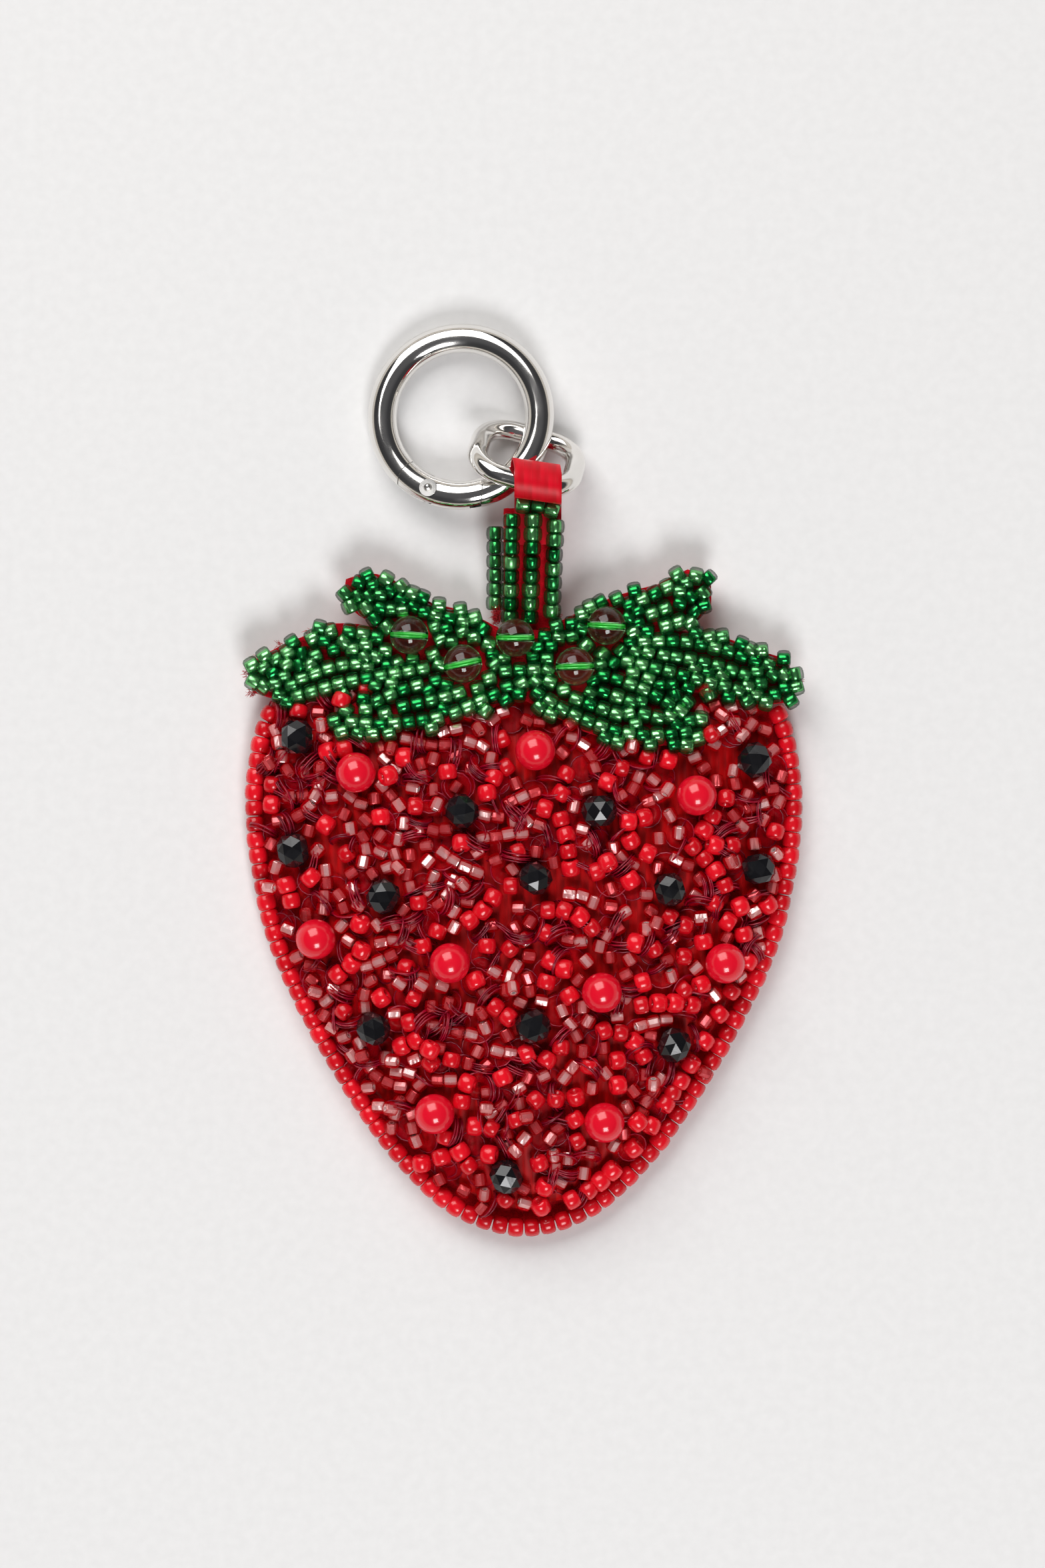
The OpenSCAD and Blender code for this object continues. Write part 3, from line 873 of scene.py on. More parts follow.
class BeadShapes:
    """Template meshes one unit in radius, with their hole along Z."""

    def __init__(self) -> None:
        """Make every template."""
        self.made: list[bpy.types.Object] = []
        self.seed = self._make(
            "seed",
            self._barrel((1.0, 0.2), (0.92, 0.62), (0.70, 0.80), (0.36, 0.74)),
            12,
        )
        self.cut = self._make(
            "cut",
            self._barrel(
                (1.0, 0.15), (0.93, 0.56), (0.70, 0.76), (0.40, 0.72)
            ),
            12,
        )
        self.lining = self._make(
            "lining",
            self._barrel((0.68, 0.50), (0.56, 0.68), (0.26, 0.70)),
            8,
        )
        self.long_cut = self._make(
            "long cut",
            self._barrel((1.0, 0.2), (0.93, 0.66), (0.70, 0.86), (0.40, 0.84)),
            12,
        )
        self.long_lining = self._make(
            "long lining",
            self._barrel((0.64, 0.70), (0.58, 0.80), (0.26, 0.82)),
            6,
            Shading.FACETED,
        )
        self.sequin = self._make(
            "sequin",
            [(0.20, -0.02), (1.0, 0.10), (1.0, 0.16), (0.20, 0.04)],
            14,
        )
        self.sequin_edge = self._make(
            "sequin edge",
            [(0.94, 0.10), (1.02, 0.10), (1.02, 0.18), (0.94, 0.18)],
            14,
        )
        self.core = self._make(
            "core", self._barrel((0.15, 1.0), (0.02, 1.0)), 10
        )
        self.cut_round = self._make(
            "cut round",
            [
                (0.22, -0.86),
                (0.52, -0.84),
                (0.90, -0.50),
                (1.0, 0.0),
                (0.90, 0.50),
                (0.52, 0.84),
                (0.22, 0.86),
                (0.18, 0.0),
            ],
            8,
            Shading.FACETED,
            0.5,
        )

    @staticmethod
    def _barrel(*half: tuple[float, float]) -> list[tuple[float, float]]:
        """Mirror the upper half of a section into a whole one.

        Args:
            *half: Radius and height of each point, from the waist up.

        Returns:
            The whole closed section.
        """
        return [(r, -z) for r, z in reversed(half)] + list(half)

    def _make(
        self,
        name: str,
        profile: list[tuple[float, float]],
        sides: int,
        shading: Shading = Shading.SMOOTH,
        stagger: float = 0.0,
    ) -> bpy.types.Object:
        """Turn one template.

        Args:
            name: Name of the template.
            profile: Its closed section.
            sides: Steps round the hole.
            shading: Smooth or faceted.
            stagger: Turn of each next row, as a part of one step.

        Returns:
            The template object.
        """
        verts, faces = lathe(profile, sides, stagger)
        obj = new_object(
            "template " + name, verts, faces, shading is Shading.SMOOTH
        )
        face_out(obj)
        obj.data.polygons.foreach_set(
            "use_smooth",
            [shading is Shading.SMOOTH] * len(obj.data.polygons),
        )
        self.made.append(obj)
        return obj

    def drop(self) -> None:
        """Remove the templates from the scene."""
        for obj in self.made:
            bpy.data.objects.remove(obj, do_unlink=True)


class Sower:
    """Puts a template on every seat with Geometry Nodes."""

    def __init__(self) -> None:
        """Build the node tree."""
        tree = bpy.data.node_groups.new("Sow beads", "GeometryNodeTree")
        face = tree.interface
        face.new_socket(
            "Seats", in_out="INPUT", socket_type="NodeSocketGeometry"
        )
        kinds = (
            ("Shape", "NodeSocketObject"),
            ("Radius", "NodeSocketFloat"),
            ("Size spread", "NodeSocketFloat"),
            ("Seed", "NodeSocketInt"),
            ("Finish", "NodeSocketMaterial"),
        )
        self.keys = {
            name: face.new_socket(
                name, in_out="INPUT", socket_type=kind
            ).identifier
            for name, kind in kinds
        }
        face.new_socket(
            "Beads", in_out="OUTPUT", socket_type="NodeSocketGeometry"
        )
        node = tree.nodes.new
        link = tree.links.new
        given = node("NodeGroupInput")
        shape = node("GeometryNodeObjectInfo")
        link(given.outputs["Shape"], shape.inputs["Object"])
        turn = node("GeometryNodeInputNamedAttribute")
        turn.data_type = "FLOAT_VECTOR"
        turn.inputs["Name"].default_value = "turn"
        spread = node("FunctionNodeRandomValue")
        spread.data_type = "FLOAT"
        one = node("ShaderNodeMath")
        one.operation = "SUBTRACT"
        one.inputs[0].default_value = 1.0
        link(given.outputs["Size spread"], one.inputs[1])
        more = node("ShaderNodeMath")
        more.operation = "ADD"
        more.inputs[0].default_value = 1.0
        link(given.outputs["Size spread"], more.inputs[1])
        numbers = [s for s in spread.inputs if s.type == "VALUE" and s.enabled]
        link(one.outputs[0], numbers[0])
        link(more.outputs[0], numbers[1])
        link(given.outputs["Seed"], spread.inputs["Seed"])
        picked = next(s for s in spread.outputs if s.enabled)
        scale = node("ShaderNodeMath")
        scale.operation = "MULTIPLY"
        link(picked, scale.inputs[0])
        link(given.outputs["Radius"], scale.inputs[1])
        put = node("GeometryNodeInstanceOnPoints")
        link(given.outputs["Seats"], put.inputs["Points"])
        link(shape.outputs["Geometry"], put.inputs["Instance"])
        link(
            next(s for s in turn.outputs if s.enabled), put.inputs["Rotation"]
        )
        link(scale.outputs[0], put.inputs["Scale"])
        shade = node("FunctionNodeRandomValue")
        shade.data_type = "FLOAT"
        link(given.outputs["Seed"], shade.inputs["Seed"])
        keep = node("GeometryNodeStoreNamedAttribute")
        keep.data_type = "FLOAT"
        keep.domain = "INSTANCE"
        keep.inputs["Name"].default_value = "tint"
        link(put.outputs[0], keep.inputs["Geometry"])
        link(
            next(s for s in shade.outputs if s.enabled), keep.inputs["Value"]
        )
        solid = node("GeometryNodeRealizeInstances")
        link(keep.outputs[0], solid.inputs[0])
        paint = node("GeometryNodeSetMaterial")
        link(solid.outputs[0], paint.inputs["Geometry"])
        link(given.outputs["Finish"], paint.inputs["Material"])
        out = node("NodeGroupOutput")
        link(paint.outputs[0], out.inputs[0])
        self.tree = tree

    def sow(
        self,
        name: str,
        seats: list[Seat],
        shape: bpy.types.Object,
        radius: float,
        finish: bpy.types.Material,
        seed: int,
        spread: float = 0.04,
        body: str = "charm",
    ) -> bpy.types.Object:
        """Make one piece of many beads.

        Args:
            name: Name of the piece.
            seats: Where the beads go.
            shape: The template.
            radius: Bead radius in metres.
            finish: The material.
            seed: Fixed seed of the sizes and shades.
            spread: How much the size varies.
            body: The body it rides on.

        Returns:
            The finished piece.
        """
        points = new_object(name, [s.place for s in seats], [])
        turns = points.data.attributes.new("turn", "FLOAT_VECTOR", "POINT")
        dice = random.Random(seed)
        flat: list[float] = []
        for s in seats:
            spin = Matrix.Rotation(dice.uniform(0, math.tau), 3, "Z")
            base = s.axis.to_track_quat("Z", "Y").to_matrix()
            flat += list((base @ spin).to_euler())
        turns.data.foreach_set("vector", flat)
        modifier = points.modifiers.new("Sow", "NODES")
        modifier.node_group = self.tree
        modifier[self.keys["Shape"]] = shape
        modifier[self.keys["Radius"]] = radius
        modifier[self.keys["Size spread"]] = spread
        modifier[self.keys["Seed"]] = seed
        modifier[self.keys["Finish"]] = finish
        bake(points)
        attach(points, body)
        log.info("%s: %d beads", name, len(seats))
        return points


# ---- padded body ---------------------------------------------------------


@dataclass
class Body:
    """The satin pad and the felt back."""

    palette: Palette
    voxel: float = 1.6 * MM
    shrink: float = 0.35 * MM
    cap: float = 0.5 * MM
    pressure: float = 4.0
    frames: int = 20
    dimple: float = 0.35 * MM
    dimple_reach: float = 3 * MM
    dimple_from: float = 2.5 * MM
    grow: float = 0.5 * MM
    floor_gap: float = 1.05 * MM
    back_waver: float = 0.25 * MM
    back_rings: tuple[float, ...] = (1.0, 0.99, 0.97, 0.9, 0.75, 0.5, 0.25)
    back_round: float = 0.18
    back_bulk: float = 0.05 * MM

    def pad(self, pulls: list[Vector]) -> bpy.types.Object:
        """Swell the satin front from the stuffing's shape.

        Args:
            pulls: Where a thread pulls the satin in.

        Returns:
            The padded piece.
        """
        top = node_surface("front_cover")
        co, tri = node_arrays("stuffing")
        middle = co.mean(axis=0)
        grown = []
        for p in co:
            q = Vector(p)
            out = Vector((q.x - middle[0], q.y - middle[1], 0))
            q += out.normalized() * self.grow if out.length > 0.03 else out * 0
            hit = drop_on(top, q.x, q.y)
            if hit and p[2] > 1.5 * MM:
                q.z = hit[0].z - self.shrink
            grown.append(q)
        obj = new_object(
            "satin_front", grown, [list(map(int, t)) for t in tri]
        )
        face_out(obj)
        remesh = obj.modifiers.new("Remesh", "REMESH")
        remesh.mode = "VOXEL"
        remesh.voxel_size = self.voxel
        bake(obj)
        start = [v.co.copy() for v in obj.data.vertices]
        self._inflate(obj, start)
        self._dimple(obj, pulls, top)
        smooth = obj.modifiers.new("Smooth", "SUBSURF")
        smooth.levels = smooth.render_levels = 1
        bake(obj)
        soften(obj)
        obj.data.materials.clear()
        obj.data.materials.append(self.palette.get("red satin"))
        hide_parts("stuffing", "front_cover")
        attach(obj, "charm")
        return obj

    def _inflate(self, obj: bpy.types.Object, start: list[Vector]) -> None:
        """Run the cloth with pressure and cap how far it moves.

        Args:
            obj: The remeshed pad.
            start: Where its points began.
        """
        cloth = obj.modifiers.new("Cloth", "CLOTH")
        cloth.settings.use_pressure = True
        cloth.settings.uniform_pressure_force = self.pressure
        cloth.settings.effector_weights.gravity = 0
        scene = bpy.context.scene
        for f in range(1, self.frames + 1):
            scene.frame_set(f)
        bake(obj)
        scene.frame_set(1)
        for v, p in zip(obj.data.vertices, start):
            move = v.co - p
            if move.length > self.cap:
                v.co = p + move.normalized() * self.cap

    def _dimple(
        self, obj: bpy.types.Object, pulls: list[Vector], top: BVHTree
    ) -> None:
        """Pull the satin in under the large beads and keep it flat below.

        Args:
            obj: The pad.
            pulls: Middles of the large beads.
            top: Surface that the satin stays under.
        """
        for v in obj.data.vertices:
            hit = drop_on(top, v.co.x, v.co.y)
            if hit:
                v.co.z = min(v.co.z, hit[0].z)
            v.co.z = max(v.co.z, self.floor_gap)
            if v.co.z > self.dimple_from:
                near = min((v.co.xy - p.xy).length for p in pulls)
                v.co.z -= self.dimple * math.exp(
                    -((near / self.dimple_reach) ** 2)
                )

    def back(self) -> bpy.types.Object:
        """Cut the felt back with a slightly uneven edge.

        Returns:
            The felt sheet.
        """
        co, _ = node_arrays("back_cover")
        low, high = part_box("back_cover")
        middle = Vector(((low[0] + high[0]) / 2, (low[1] + high[1]) / 2))
        rim = [Vector(p[:2]) for p in co if p[2] < 0.1 * MM]
        rim.sort(key=lambda p: math.atan2(p.y - middle.y, p.x - middle.x))
        dice = random.Random(5)
        fine: list[Vector] = []
        for i, p in enumerate(rim):
            q = rim[(i + 1) % len(rim)]
            for k in range(3):
                r = p.lerp(q, k / 3)
                out = (r - middle).normalized()
                fine.append(r + out * dice.uniform(-1, 0.3) * self.back_waver)
        rings = self.back_rings
        verts: list[Point] = []
        faces: list[list[int]] = []
        n = len(fine)
        depth = high[2] - low[2]
        for side in (0, 1):
            for s in rings:
                for p in fine:
                    q = middle + (p - middle) * s
                    round_off = self.back_round * depth if s == 1.0 else 0.0
                    z = round_off if side == 0 else depth - round_off
                    bulk = self.back_bulk * math.sin(q.x * 900)
                    bulk *= math.sin(q.y * 700)
                    verts.append((q.x, q.y, z + (bulk if side else 0)))
            verts.append((middle.x, middle.y, depth * side))
        size = n * len(rings) + 1
        for side in (0, 1):
            base = side * size
            for j in range(len(rings) - 1):
                for i in range(n):
                    k = (i + 1) % n
                    a, b = base + j * n, base + (j + 1) * n
                    quad = [a + i, b + i, b + k, a + k]
                    faces.append(quad if side == 0 else quad[::-1])
            last = base + (len(rings) - 1) * n
            for i in range(n):
                tri = [last + i, base + size - 1, last + (i + 1) % n]
                faces.append(tri if side == 0 else tri[::-1])
        for i in range(n):
            k = (i + 1) % n
            faces.append([i, k, size + k, size + i])
        obj = new_object("felt_back", verts, faces)
        face_out(obj)
        obj.data.materials.append(self.palette.get("red felt"))
        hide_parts("back_cover")
        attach(obj, "charm")
        return obj


# ---- bead field ----------------------------------------------------------


@dataclass
class Field:
    """The seed beads and sequins between the large beads."""

    palette: Palette
    shapes: BeadShapes
    sower: Sower
    opaque_radius: float = 1.42
    lined_radius: float = 1.12
    sequin_radius: float = 2.2
    spacing: float = 0.84
    spread: float = 0.97
    seed: int = 41
    strings: int = 12000
    upper_tries: int = 300
    stacks: int = 210
    flats: int = 420
    opaque_share: float = 0.42
    upper_opaque_share: float = 0.25
    string_pitch: float = 1.72
    stack_pitch: float = 0.34
    large_squeeze: float = 0.97
    grid: float = 4.0

    def __post_init__(self) -> None:
        """Read the surfaces and the large beads from the frame."""
        self.dice = random.Random(self.seed)
        self.top = node_surface("front_cover")
        self.leaves = node_surface("calyx_felt")
        self.large = [
            (s.place / MM, r)
            for node, r in (
                ("black_faceted_beads", 2.6),
                ("red_round_beads", 3.0),
                ("green_round_beads", 2.9),
            )
            for s in read_seats(node)
        ]
        self.cells: dict[tuple[int, int], list[tuple[Vector, float]]] = {}
        self.seats: dict[BeadKind, list[Seat]] = {k: [] for k in BeadKind}
        low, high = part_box("front_cover")
        self.low = Vector(low[:2]) / MM
        self.high = Vector(high[:2]) / MM

    def ground(self, x: float, y: float) -> tuple[float, Vector] | None:
        """Return the satin's height and normal, in millimetres.

        Args:
            x: Place across, in millimetres.
            y: Place along, in millimetres.

        Returns:
            Height and normal, or None off the satin or under the leaves.
        """
        if drop_on(self.leaves, x * MM, y * MM):
            return None
        hit = drop_on(self.top, x * MM, y * MM)
        if not hit:
            return None
        normal = hit[1] if hit[1].z > 0 else -hit[1]
        return hit[0].z / MM, normal

    def room(self, p: Vector, r: float, squeeze: float = 1.0) -> bool:
        """Tell whether a small bead fits at a place.

        Args:
            p: Middle of the bead, in millimetres.
            r: Its radius in millimetres.
            squeeze: How close it may come, as a part of touching.

        Returns:
            True if nothing is in the way.
        """
        for q, big in self.large:
            if (p - q).length < (r + big) * self.large_squeeze:
                return False
        cx, cy = self._cell(p)
        for i in (cx - 1, cx, cx + 1):
            for j in (cy - 1, cy, cy + 1):
                for q, other in self.cells.get((i, j), ()):
                    if (p - q).length < (r + other) * squeeze:
                        return False
        return True

    def keep(self, kind: BeadKind, p: Vector, axis: Vector, r: float) -> None:
        """Add a bead and mark its place as taken.

        Args:
            kind: What it is.
            p: Its middle in millimetres.
            axis: The way its hole points.
            r: The radius it takes up, in millimetres.
        """
        self.seats[kind].append(Seat(p * MM, axis))
        self._mark(p, r)

    def _mark(self, p: Vector, r: float) -> None:
        """Mark a place as taken.

        Args:
            p: Its middle in millimetres.
            r: The radius that is taken up, in millimetres.
        """
        self.cells.setdefault(self._cell(p), []).append((p, r))

    def _cell(self, p: Vector) -> tuple[int, int]:
        """Return the square of the search grid that a place is in."""
        return int(p.x // self.grid), int(p.y // self.grid)

    def _spot(self) -> tuple[float, float]:
        """Return a random place in the satin's box, in millimetres."""
        x = self.dice.uniform(self.low.x, self.high.x)
        return x, self.dice.uniform(self.low.y, self.high.y)

    def _pick(self, share: float) -> tuple[BeadKind, float]:
        """Choose a kind of bead.

        Args:
            share: Share of opaque beads.

        Returns:
            The kind and its radius in millimetres.
        """
        if self.dice.random() < share:
            return BeadKind.OPAQUE, self.opaque_radius
        return BeadKind.LINED, self.lined_radius

    def _string(self) -> None:
        """Sew one short curved string of like beads."""
        dice = self.dice
        x, y = self._spot()
        heading = dice.uniform(0, math.tau)
        bend = dice.uniform(-0.5, 0.5)
        kind, r = self._pick(self.opaque_share)
        count = dice.choice((1, 1, 1, 2, 2, 3, 4))
        for made in range(count):
            spot = self.ground(x, y)
            if spot is None:
                return
            lift = dice.uniform(0.0, 0.5)
            p = Vector((x, y, spot[0])) + spot[1] * (r + lift)
            if not self.room(p, r, self.spacing if made else self.spread):
                return
            along = Vector((math.cos(heading), math.sin(heading), 0))
            axis = (along - spot[1] * along.dot(spot[1])).normalized()
            axis += Vector((0, 0, dice.uniform(-0.35, 0.35)))
            self.keep(kind, p, axis.normalized(), r)
            pitch = r * self.string_pitch
            x += along.x * pitch
            y += along.y * pitch
            heading += bend + dice.uniform(-0.15, 0.15)

    def _perch(self) -> None:
        """Set one bead on top of the gaps between the others."""
        dice = self.dice
        x, y = self._spot()
        spot = self.ground(x, y)
        if spot is None:
            return
        kind, r = self._pick(self.upper_opaque_share)
        p = Vector((x, y, spot[0])) + spot[1] * (r + dice.uniform(1.0, 1.9))
        if self.room(p, r, 0.84):
            a = dice.uniform(0, math.tau)
            axis = Vector((math.cos(a), math.sin(a), dice.uniform(-0.8, 0.8)))
            self.keep(kind, p, axis.normalized(), r)

    def _sequin_stacks(self) -> None:
        """Stand short stacks of sequins on edge between the beads."""
        dice = self.dice
        made = 0
        while made < self.stacks:
            x, y = self._spot()
            spot = self.ground(x, y)
            if spot is None:
                continue
            made += 1
            a = dice.uniform(0, math.tau)
            lean = dice.uniform(0.1, 0.5)
            axis = Vector((math.cos(a), math.sin(a), lean)).normalized()
            base = Vector((x, y, spot[0])) + spot[1] * dice.uniform(0.1, 0.7)
            if any((base - q).length < big + 1.4 for q, big in self.large):
                continue
            for k in range(dice.choice((2, 3, 4, 5))):
                wobble = Vector([dice.uniform(-0.08, 0.08) for _ in "xyz"])
                self.seats[BeadKind.SEQUIN].append(
                    Seat(
                        (base + axis * (k * self.stack_pitch)) * MM,
                        (axis + wobble).normalized(),
                    )
                )

    def _sequin_flats(self) -> None:
        """Scatter sequins that lie nearly flat on the satin."""
        dice = self.dice
        for _ in range(self.flats):
            x, y = self._spot()
            spot = self.ground(x, y)
            if spot is None:
                continue
            axis = spot[1] + Vector([dice.uniform(-0.45, 0.45) for _ in "xyz"])
            place = Vector((x, y, spot[0])) + spot[1] * dice.uniform(0.2, 0.8)
            if any((place - q).length < big + 1.6 for q, big in self.large):
                continue
            self.seats[BeadKind.SEQUIN].append(
                Seat(place * MM, axis.normalized())
            )

    def edge_rows(self) -> None:
        """Add the rows of opaque beads inside the edging."""
        edging = read_seats("edge_seed_beads")
        low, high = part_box("back_cover")
        middle = Vector((0, (low[1] + high[1]) / 2 / MM - 2))
        for s in edging:
            p = s.place / MM
            self._mark(p, self.opaque_radius)
        for row, rise in ((1.0, 1.5), (2.6, 2.6)):
            for s in edging:
                p = s.place / MM
                right_low = p.x > 8 and p.y < -30
                if row > 2 and not right_low:
                    continue
                inward = (middle - p.xy).normalized() * row
                q = Vector((p.x + inward.x, p.y + inward.y, p.z + rise))
                shift = s.axis * self.dice.uniform(-0.5, 0.5)
                q += shift
                if self.room(q, self.opaque_radius, 0.7):
                    wobble = Vector(
                        [self.dice.uniform(-0.3, 0.3) for _ in "xyz"]
                    )
                    self.keep(
                        BeadKind.OPAQUE,
                        q,
                        (s.axis + wobble).normalized(),
                        self.opaque_radius,
                    )

    def build(self) -> None:
        """Fill the field and make its pieces."""
        self.edge_rows()
        for _ in range(self.strings):
            self._string()
        for _ in range(self.upper_tries):
            self._perch()
        self._sequin_stacks()
        self._sequin_flats()
        get = self.palette.get
        field_beads = self.sower.sow(
            "red_opaque_seeds",
            self.seats[BeadKind.OPAQUE],
            self.shapes.seed,
            self.opaque_radius * MM,
            get("red opaque glass"),
            11,
            0.07,
        )
        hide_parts("seed_bead_field")
        lined = self.seats[BeadKind.LINED]
        self.sower.sow(
            "red_lined_seeds",
            lined,
            self.shapes.long_cut,
            self.lined_radius * MM,
            get("red clear glass"),
            12,
        )
        self.sower.sow(
            "red_seed_linings",
            lined,
            self.shapes.long_lining,
            self.lined_radius * MM,
            get("rose foil"),
            12,
        )
        self.sower.sow(
            "red_sequins",
            self.seats[BeadKind.SEQUIN],
            self.shapes.sequin,
            self.sequin_radius * MM,
            get("red sequin film"),
            13,
            0.1,
        )
        self.sower.sow(
            "red_sequin_edges",
            self.seats[BeadKind.SEQUIN],
            self.shapes.sequin_edge,
            self.sequin_radius * MM,
            get("sequin edge"),
            13,
            0.1,
        )


# ---- leaves and stem -----------------------------------------------------


@dataclass
class Greenery:
    """The felt leaves and stem with their green beads."""

    palette: Palette
    shapes: BeadShapes
    sower: Sower
    bead_radius: float = 1.38 * MM
    fill_tries: int = 12000
    fill_gap: float = 1.55 * MM
    fill_lift: float = 1.08
    round_reach: float = 3.5 * MM
    felt_step: float = 1.1 * MM
    fray_steps: int = 4
    fray_width: float = 0.055 * MM
    fibres: int = 12
    core_radius: float = 2.75 * MM
    leaf_nodes: tuple[str, ...] = (
        "calyx_centre_beads",
        "left_leaf_beads",
        "upper_left_leaf_beads",
        "lower_left_leaf_beads",
        "right_leaf_beads",
        "upper_right_leaf_beads",
        "lower_right_leaf_beads",
        "stem_side_beads",
        "stem_front_beads",
        "stem_top_beads",
    )

    def beads(self) -> None:
        """Sow lined green beads on every seat of the leaves and stem."""
        for i, node in enumerate(self.leaf_nodes):
            glass = self._lined(node, read_seats(node), 60 + i)
            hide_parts(node)

    def fill(self) -> None:
        """Sow more beads in the gaps that are left on the leaves."""
        dice = random.Random(77)
        felt = node_surface("calyx_felt")
        low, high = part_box("calyx_felt")
        taken = [s for node in self.leaf_nodes for s in read_seats(node)]
        rounds = [s.place for s in read_seats("green_round_beads")]
        extra: list[Seat] = []
        for _ in range(self.fill_tries):
            x = dice.uniform(low[0], high[0])
            y = dice.uniform(low[1], high[1])
            hit = drop_on(felt, x, y)
            if not hit or hit[1].z < 0.3:
                continue
            p = hit[0] + Vector((0, 0, self.bead_radius * self.fill_lift))
            if any((p.xy - q.xy).length < self.round_reach for q in rounds):
                continue
            near = min(taken, key=lambda s: (s.place.xy - p.xy).length)
            if (near.place.xy - p.xy).length < self.fill_gap:
                continue
            axis = near.axis + Vector(
                [dice.uniform(-0.6, 0.6) for _ in "xy"] + [0.0]
            )
            seat = Seat(p, axis.normalized())
            taken.append(seat)
            extra.append(seat)
        self._lined("leaf_filling_beads", extra, 75)

    def _lined(
        self, name: str, seats: list[Seat], seed: int
    ) -> bpy.types.Object:
        """Sow green glass with its lining on each seat.

        Args:
            name: Start of the names of the two pieces.
            seats: Where the beads go.
            seed: Fixed seed of their sizes and shades.

        Returns:
            The glass.
        """
        glass = self.sower.sow(
            name + "_glass",
            seats,
            self.shapes.cut,
            self.bead_radius,
            self.palette.get("green clear glass"),
            seed,
        )
        self.sower.sow(
            name + "_linings",
            seats,
            self.shapes.lining,
            self.bead_radius,
            self.palette.get("silver foil"),
            seed,
        )
        return glass

    def rounds(self) -> None:
        """Dress the clear round beads and put the core in their holes."""
        self.palette.dress_node("green_round_beads", "round green glass")
        self.sower.sow(
            "green_round_cores",
            read_seats("green_round_beads"),
            self.shapes.core,
            self.core_radius,
            self.palette.get("green core"),
            90,
            0.0,
        )

    def felt(self, node: str, name: str, cut: int) -> bpy.types.Object:
        """Rework a CAD felt solid into soft felt with an uneven skin.

        Args:
            node: The CAD node.
            name: Name of the piece.
            cut: Times that the mesh is cut finer.

        Returns:
            The felt piece.
        """
        co, tri = node_arrays(node)
        obj = new_object(name, co, [list(map(int, t)) for t in tri])
        face_out(obj, 2e-6)
        bm = bmesh.new()
        bm.from_mesh(obj.data)
        for _ in range(cut):
            long_edges = [
                e for e in bm.edges if e.calc_length() > self.felt_step
            ]
            bmesh.ops.subdivide_edges(
                bm, edges=long_edges, cuts=1, use_grid_fill=True
            )
        bmesh.ops.triangulate(bm, faces=bm.faces)
        dice = random.Random(7)
        bm.normal_update()
        for v in bm.verts:
            v.co += v.normal * dice.uniform(-0.09, 0.06) * MM
        bm.to_mesh(obj.data)
        bm.free()
        soften(obj)
        obj.data.materials.append(self.palette.get("red felt"))
        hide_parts(node)
        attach(obj, "charm")
        return obj

    def fray(self) -> bpy.types.Object:
        """Grow loose fibres from the leaf tips and the stem's sides.

        Returns:
            The fibres.
        """
        dice = random.Random(23)
        co, _ = node_arrays("calyx_felt")
        centre = Vector((0.0, 18.5 * MM))
        rim = [Vector(p) for p in co if (Vector(p[:2]) - centre).length > 0.02]
        rim.sort(key=lambda p: -(p.xy - centre).length)
        roots = [p for p in rim[:70] if p.x < 0 or p.z < 4 * MM]
        for side in (-4.0, 4.6):
            for k in range(20):
                roots.append(
                    Vector((side * MM, (24 + 0.1 * k) * MM, 3.4 * MM))
                )
        verts: list[Vector] = []
        faces: list[list[int]] = []
        for root in roots:
            for _ in range(self.fibres):
                out = (root.xy - centre).to_3d().normalized()
                heading = out + Vector(
                    [dice.uniform(-0.9, 0.9) for _ in "xyz"]
                )
                heading.z = abs(heading.z) * 0.4
                p = root + Vector(
                    [dice.uniform(-0.5, 0.5) * MM for _ in "xyz"]
                )
                step = dice.uniform(0.12, 0.3) * MM
                base = len(verts)
                for k in range(self.fray_steps):
                    width = self.fray_width * (1 - 0.22 * k)
                    across = heading.orthogonal().normalized() * width
                    other = heading.cross(across).normalized() * width
                    verts += [
                        p + across,
                        p - across * 0.5 + other,
                        p - across * 0.5 - other,
                    ]
                    p = p + heading.normalized() * step
                    p.z = max(p.z, 0.2 * MM)
                    heading += Vector(
                        [dice.uniform(-0.5, 0.5) for _ in "xyz"]
                    )
                for k in range(self.fray_steps - 1):
                    a, b = base + 3 * k, base + 3 * k + 3
                    for i in range(3):
                        j = (i + 1) % 3
                        faces.append([a + i, a + j, b + j, b + i])
                faces.append([base, base + 2, base + 1])
                faces.append([base + 9, base + 10, base + 11])
        obj = new_object("felt_fray", verts, faces)
        face_out(obj, 1e-9)
        obj.data.materials.append(self.palette.get("red felt"))
        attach(obj, "charm")
        return obj

    def build(self) -> None:
        """Make every piece of the greenery."""
        self.beads()
        self.fill()
        self.rounds()
        leaves = self.felt("calyx_felt", "felt_leaves", 2)
        stem = self.felt("stem_felt", "felt_stem", 4)
        self.fray()


# ---- ribbon --------------------------------------------------------------


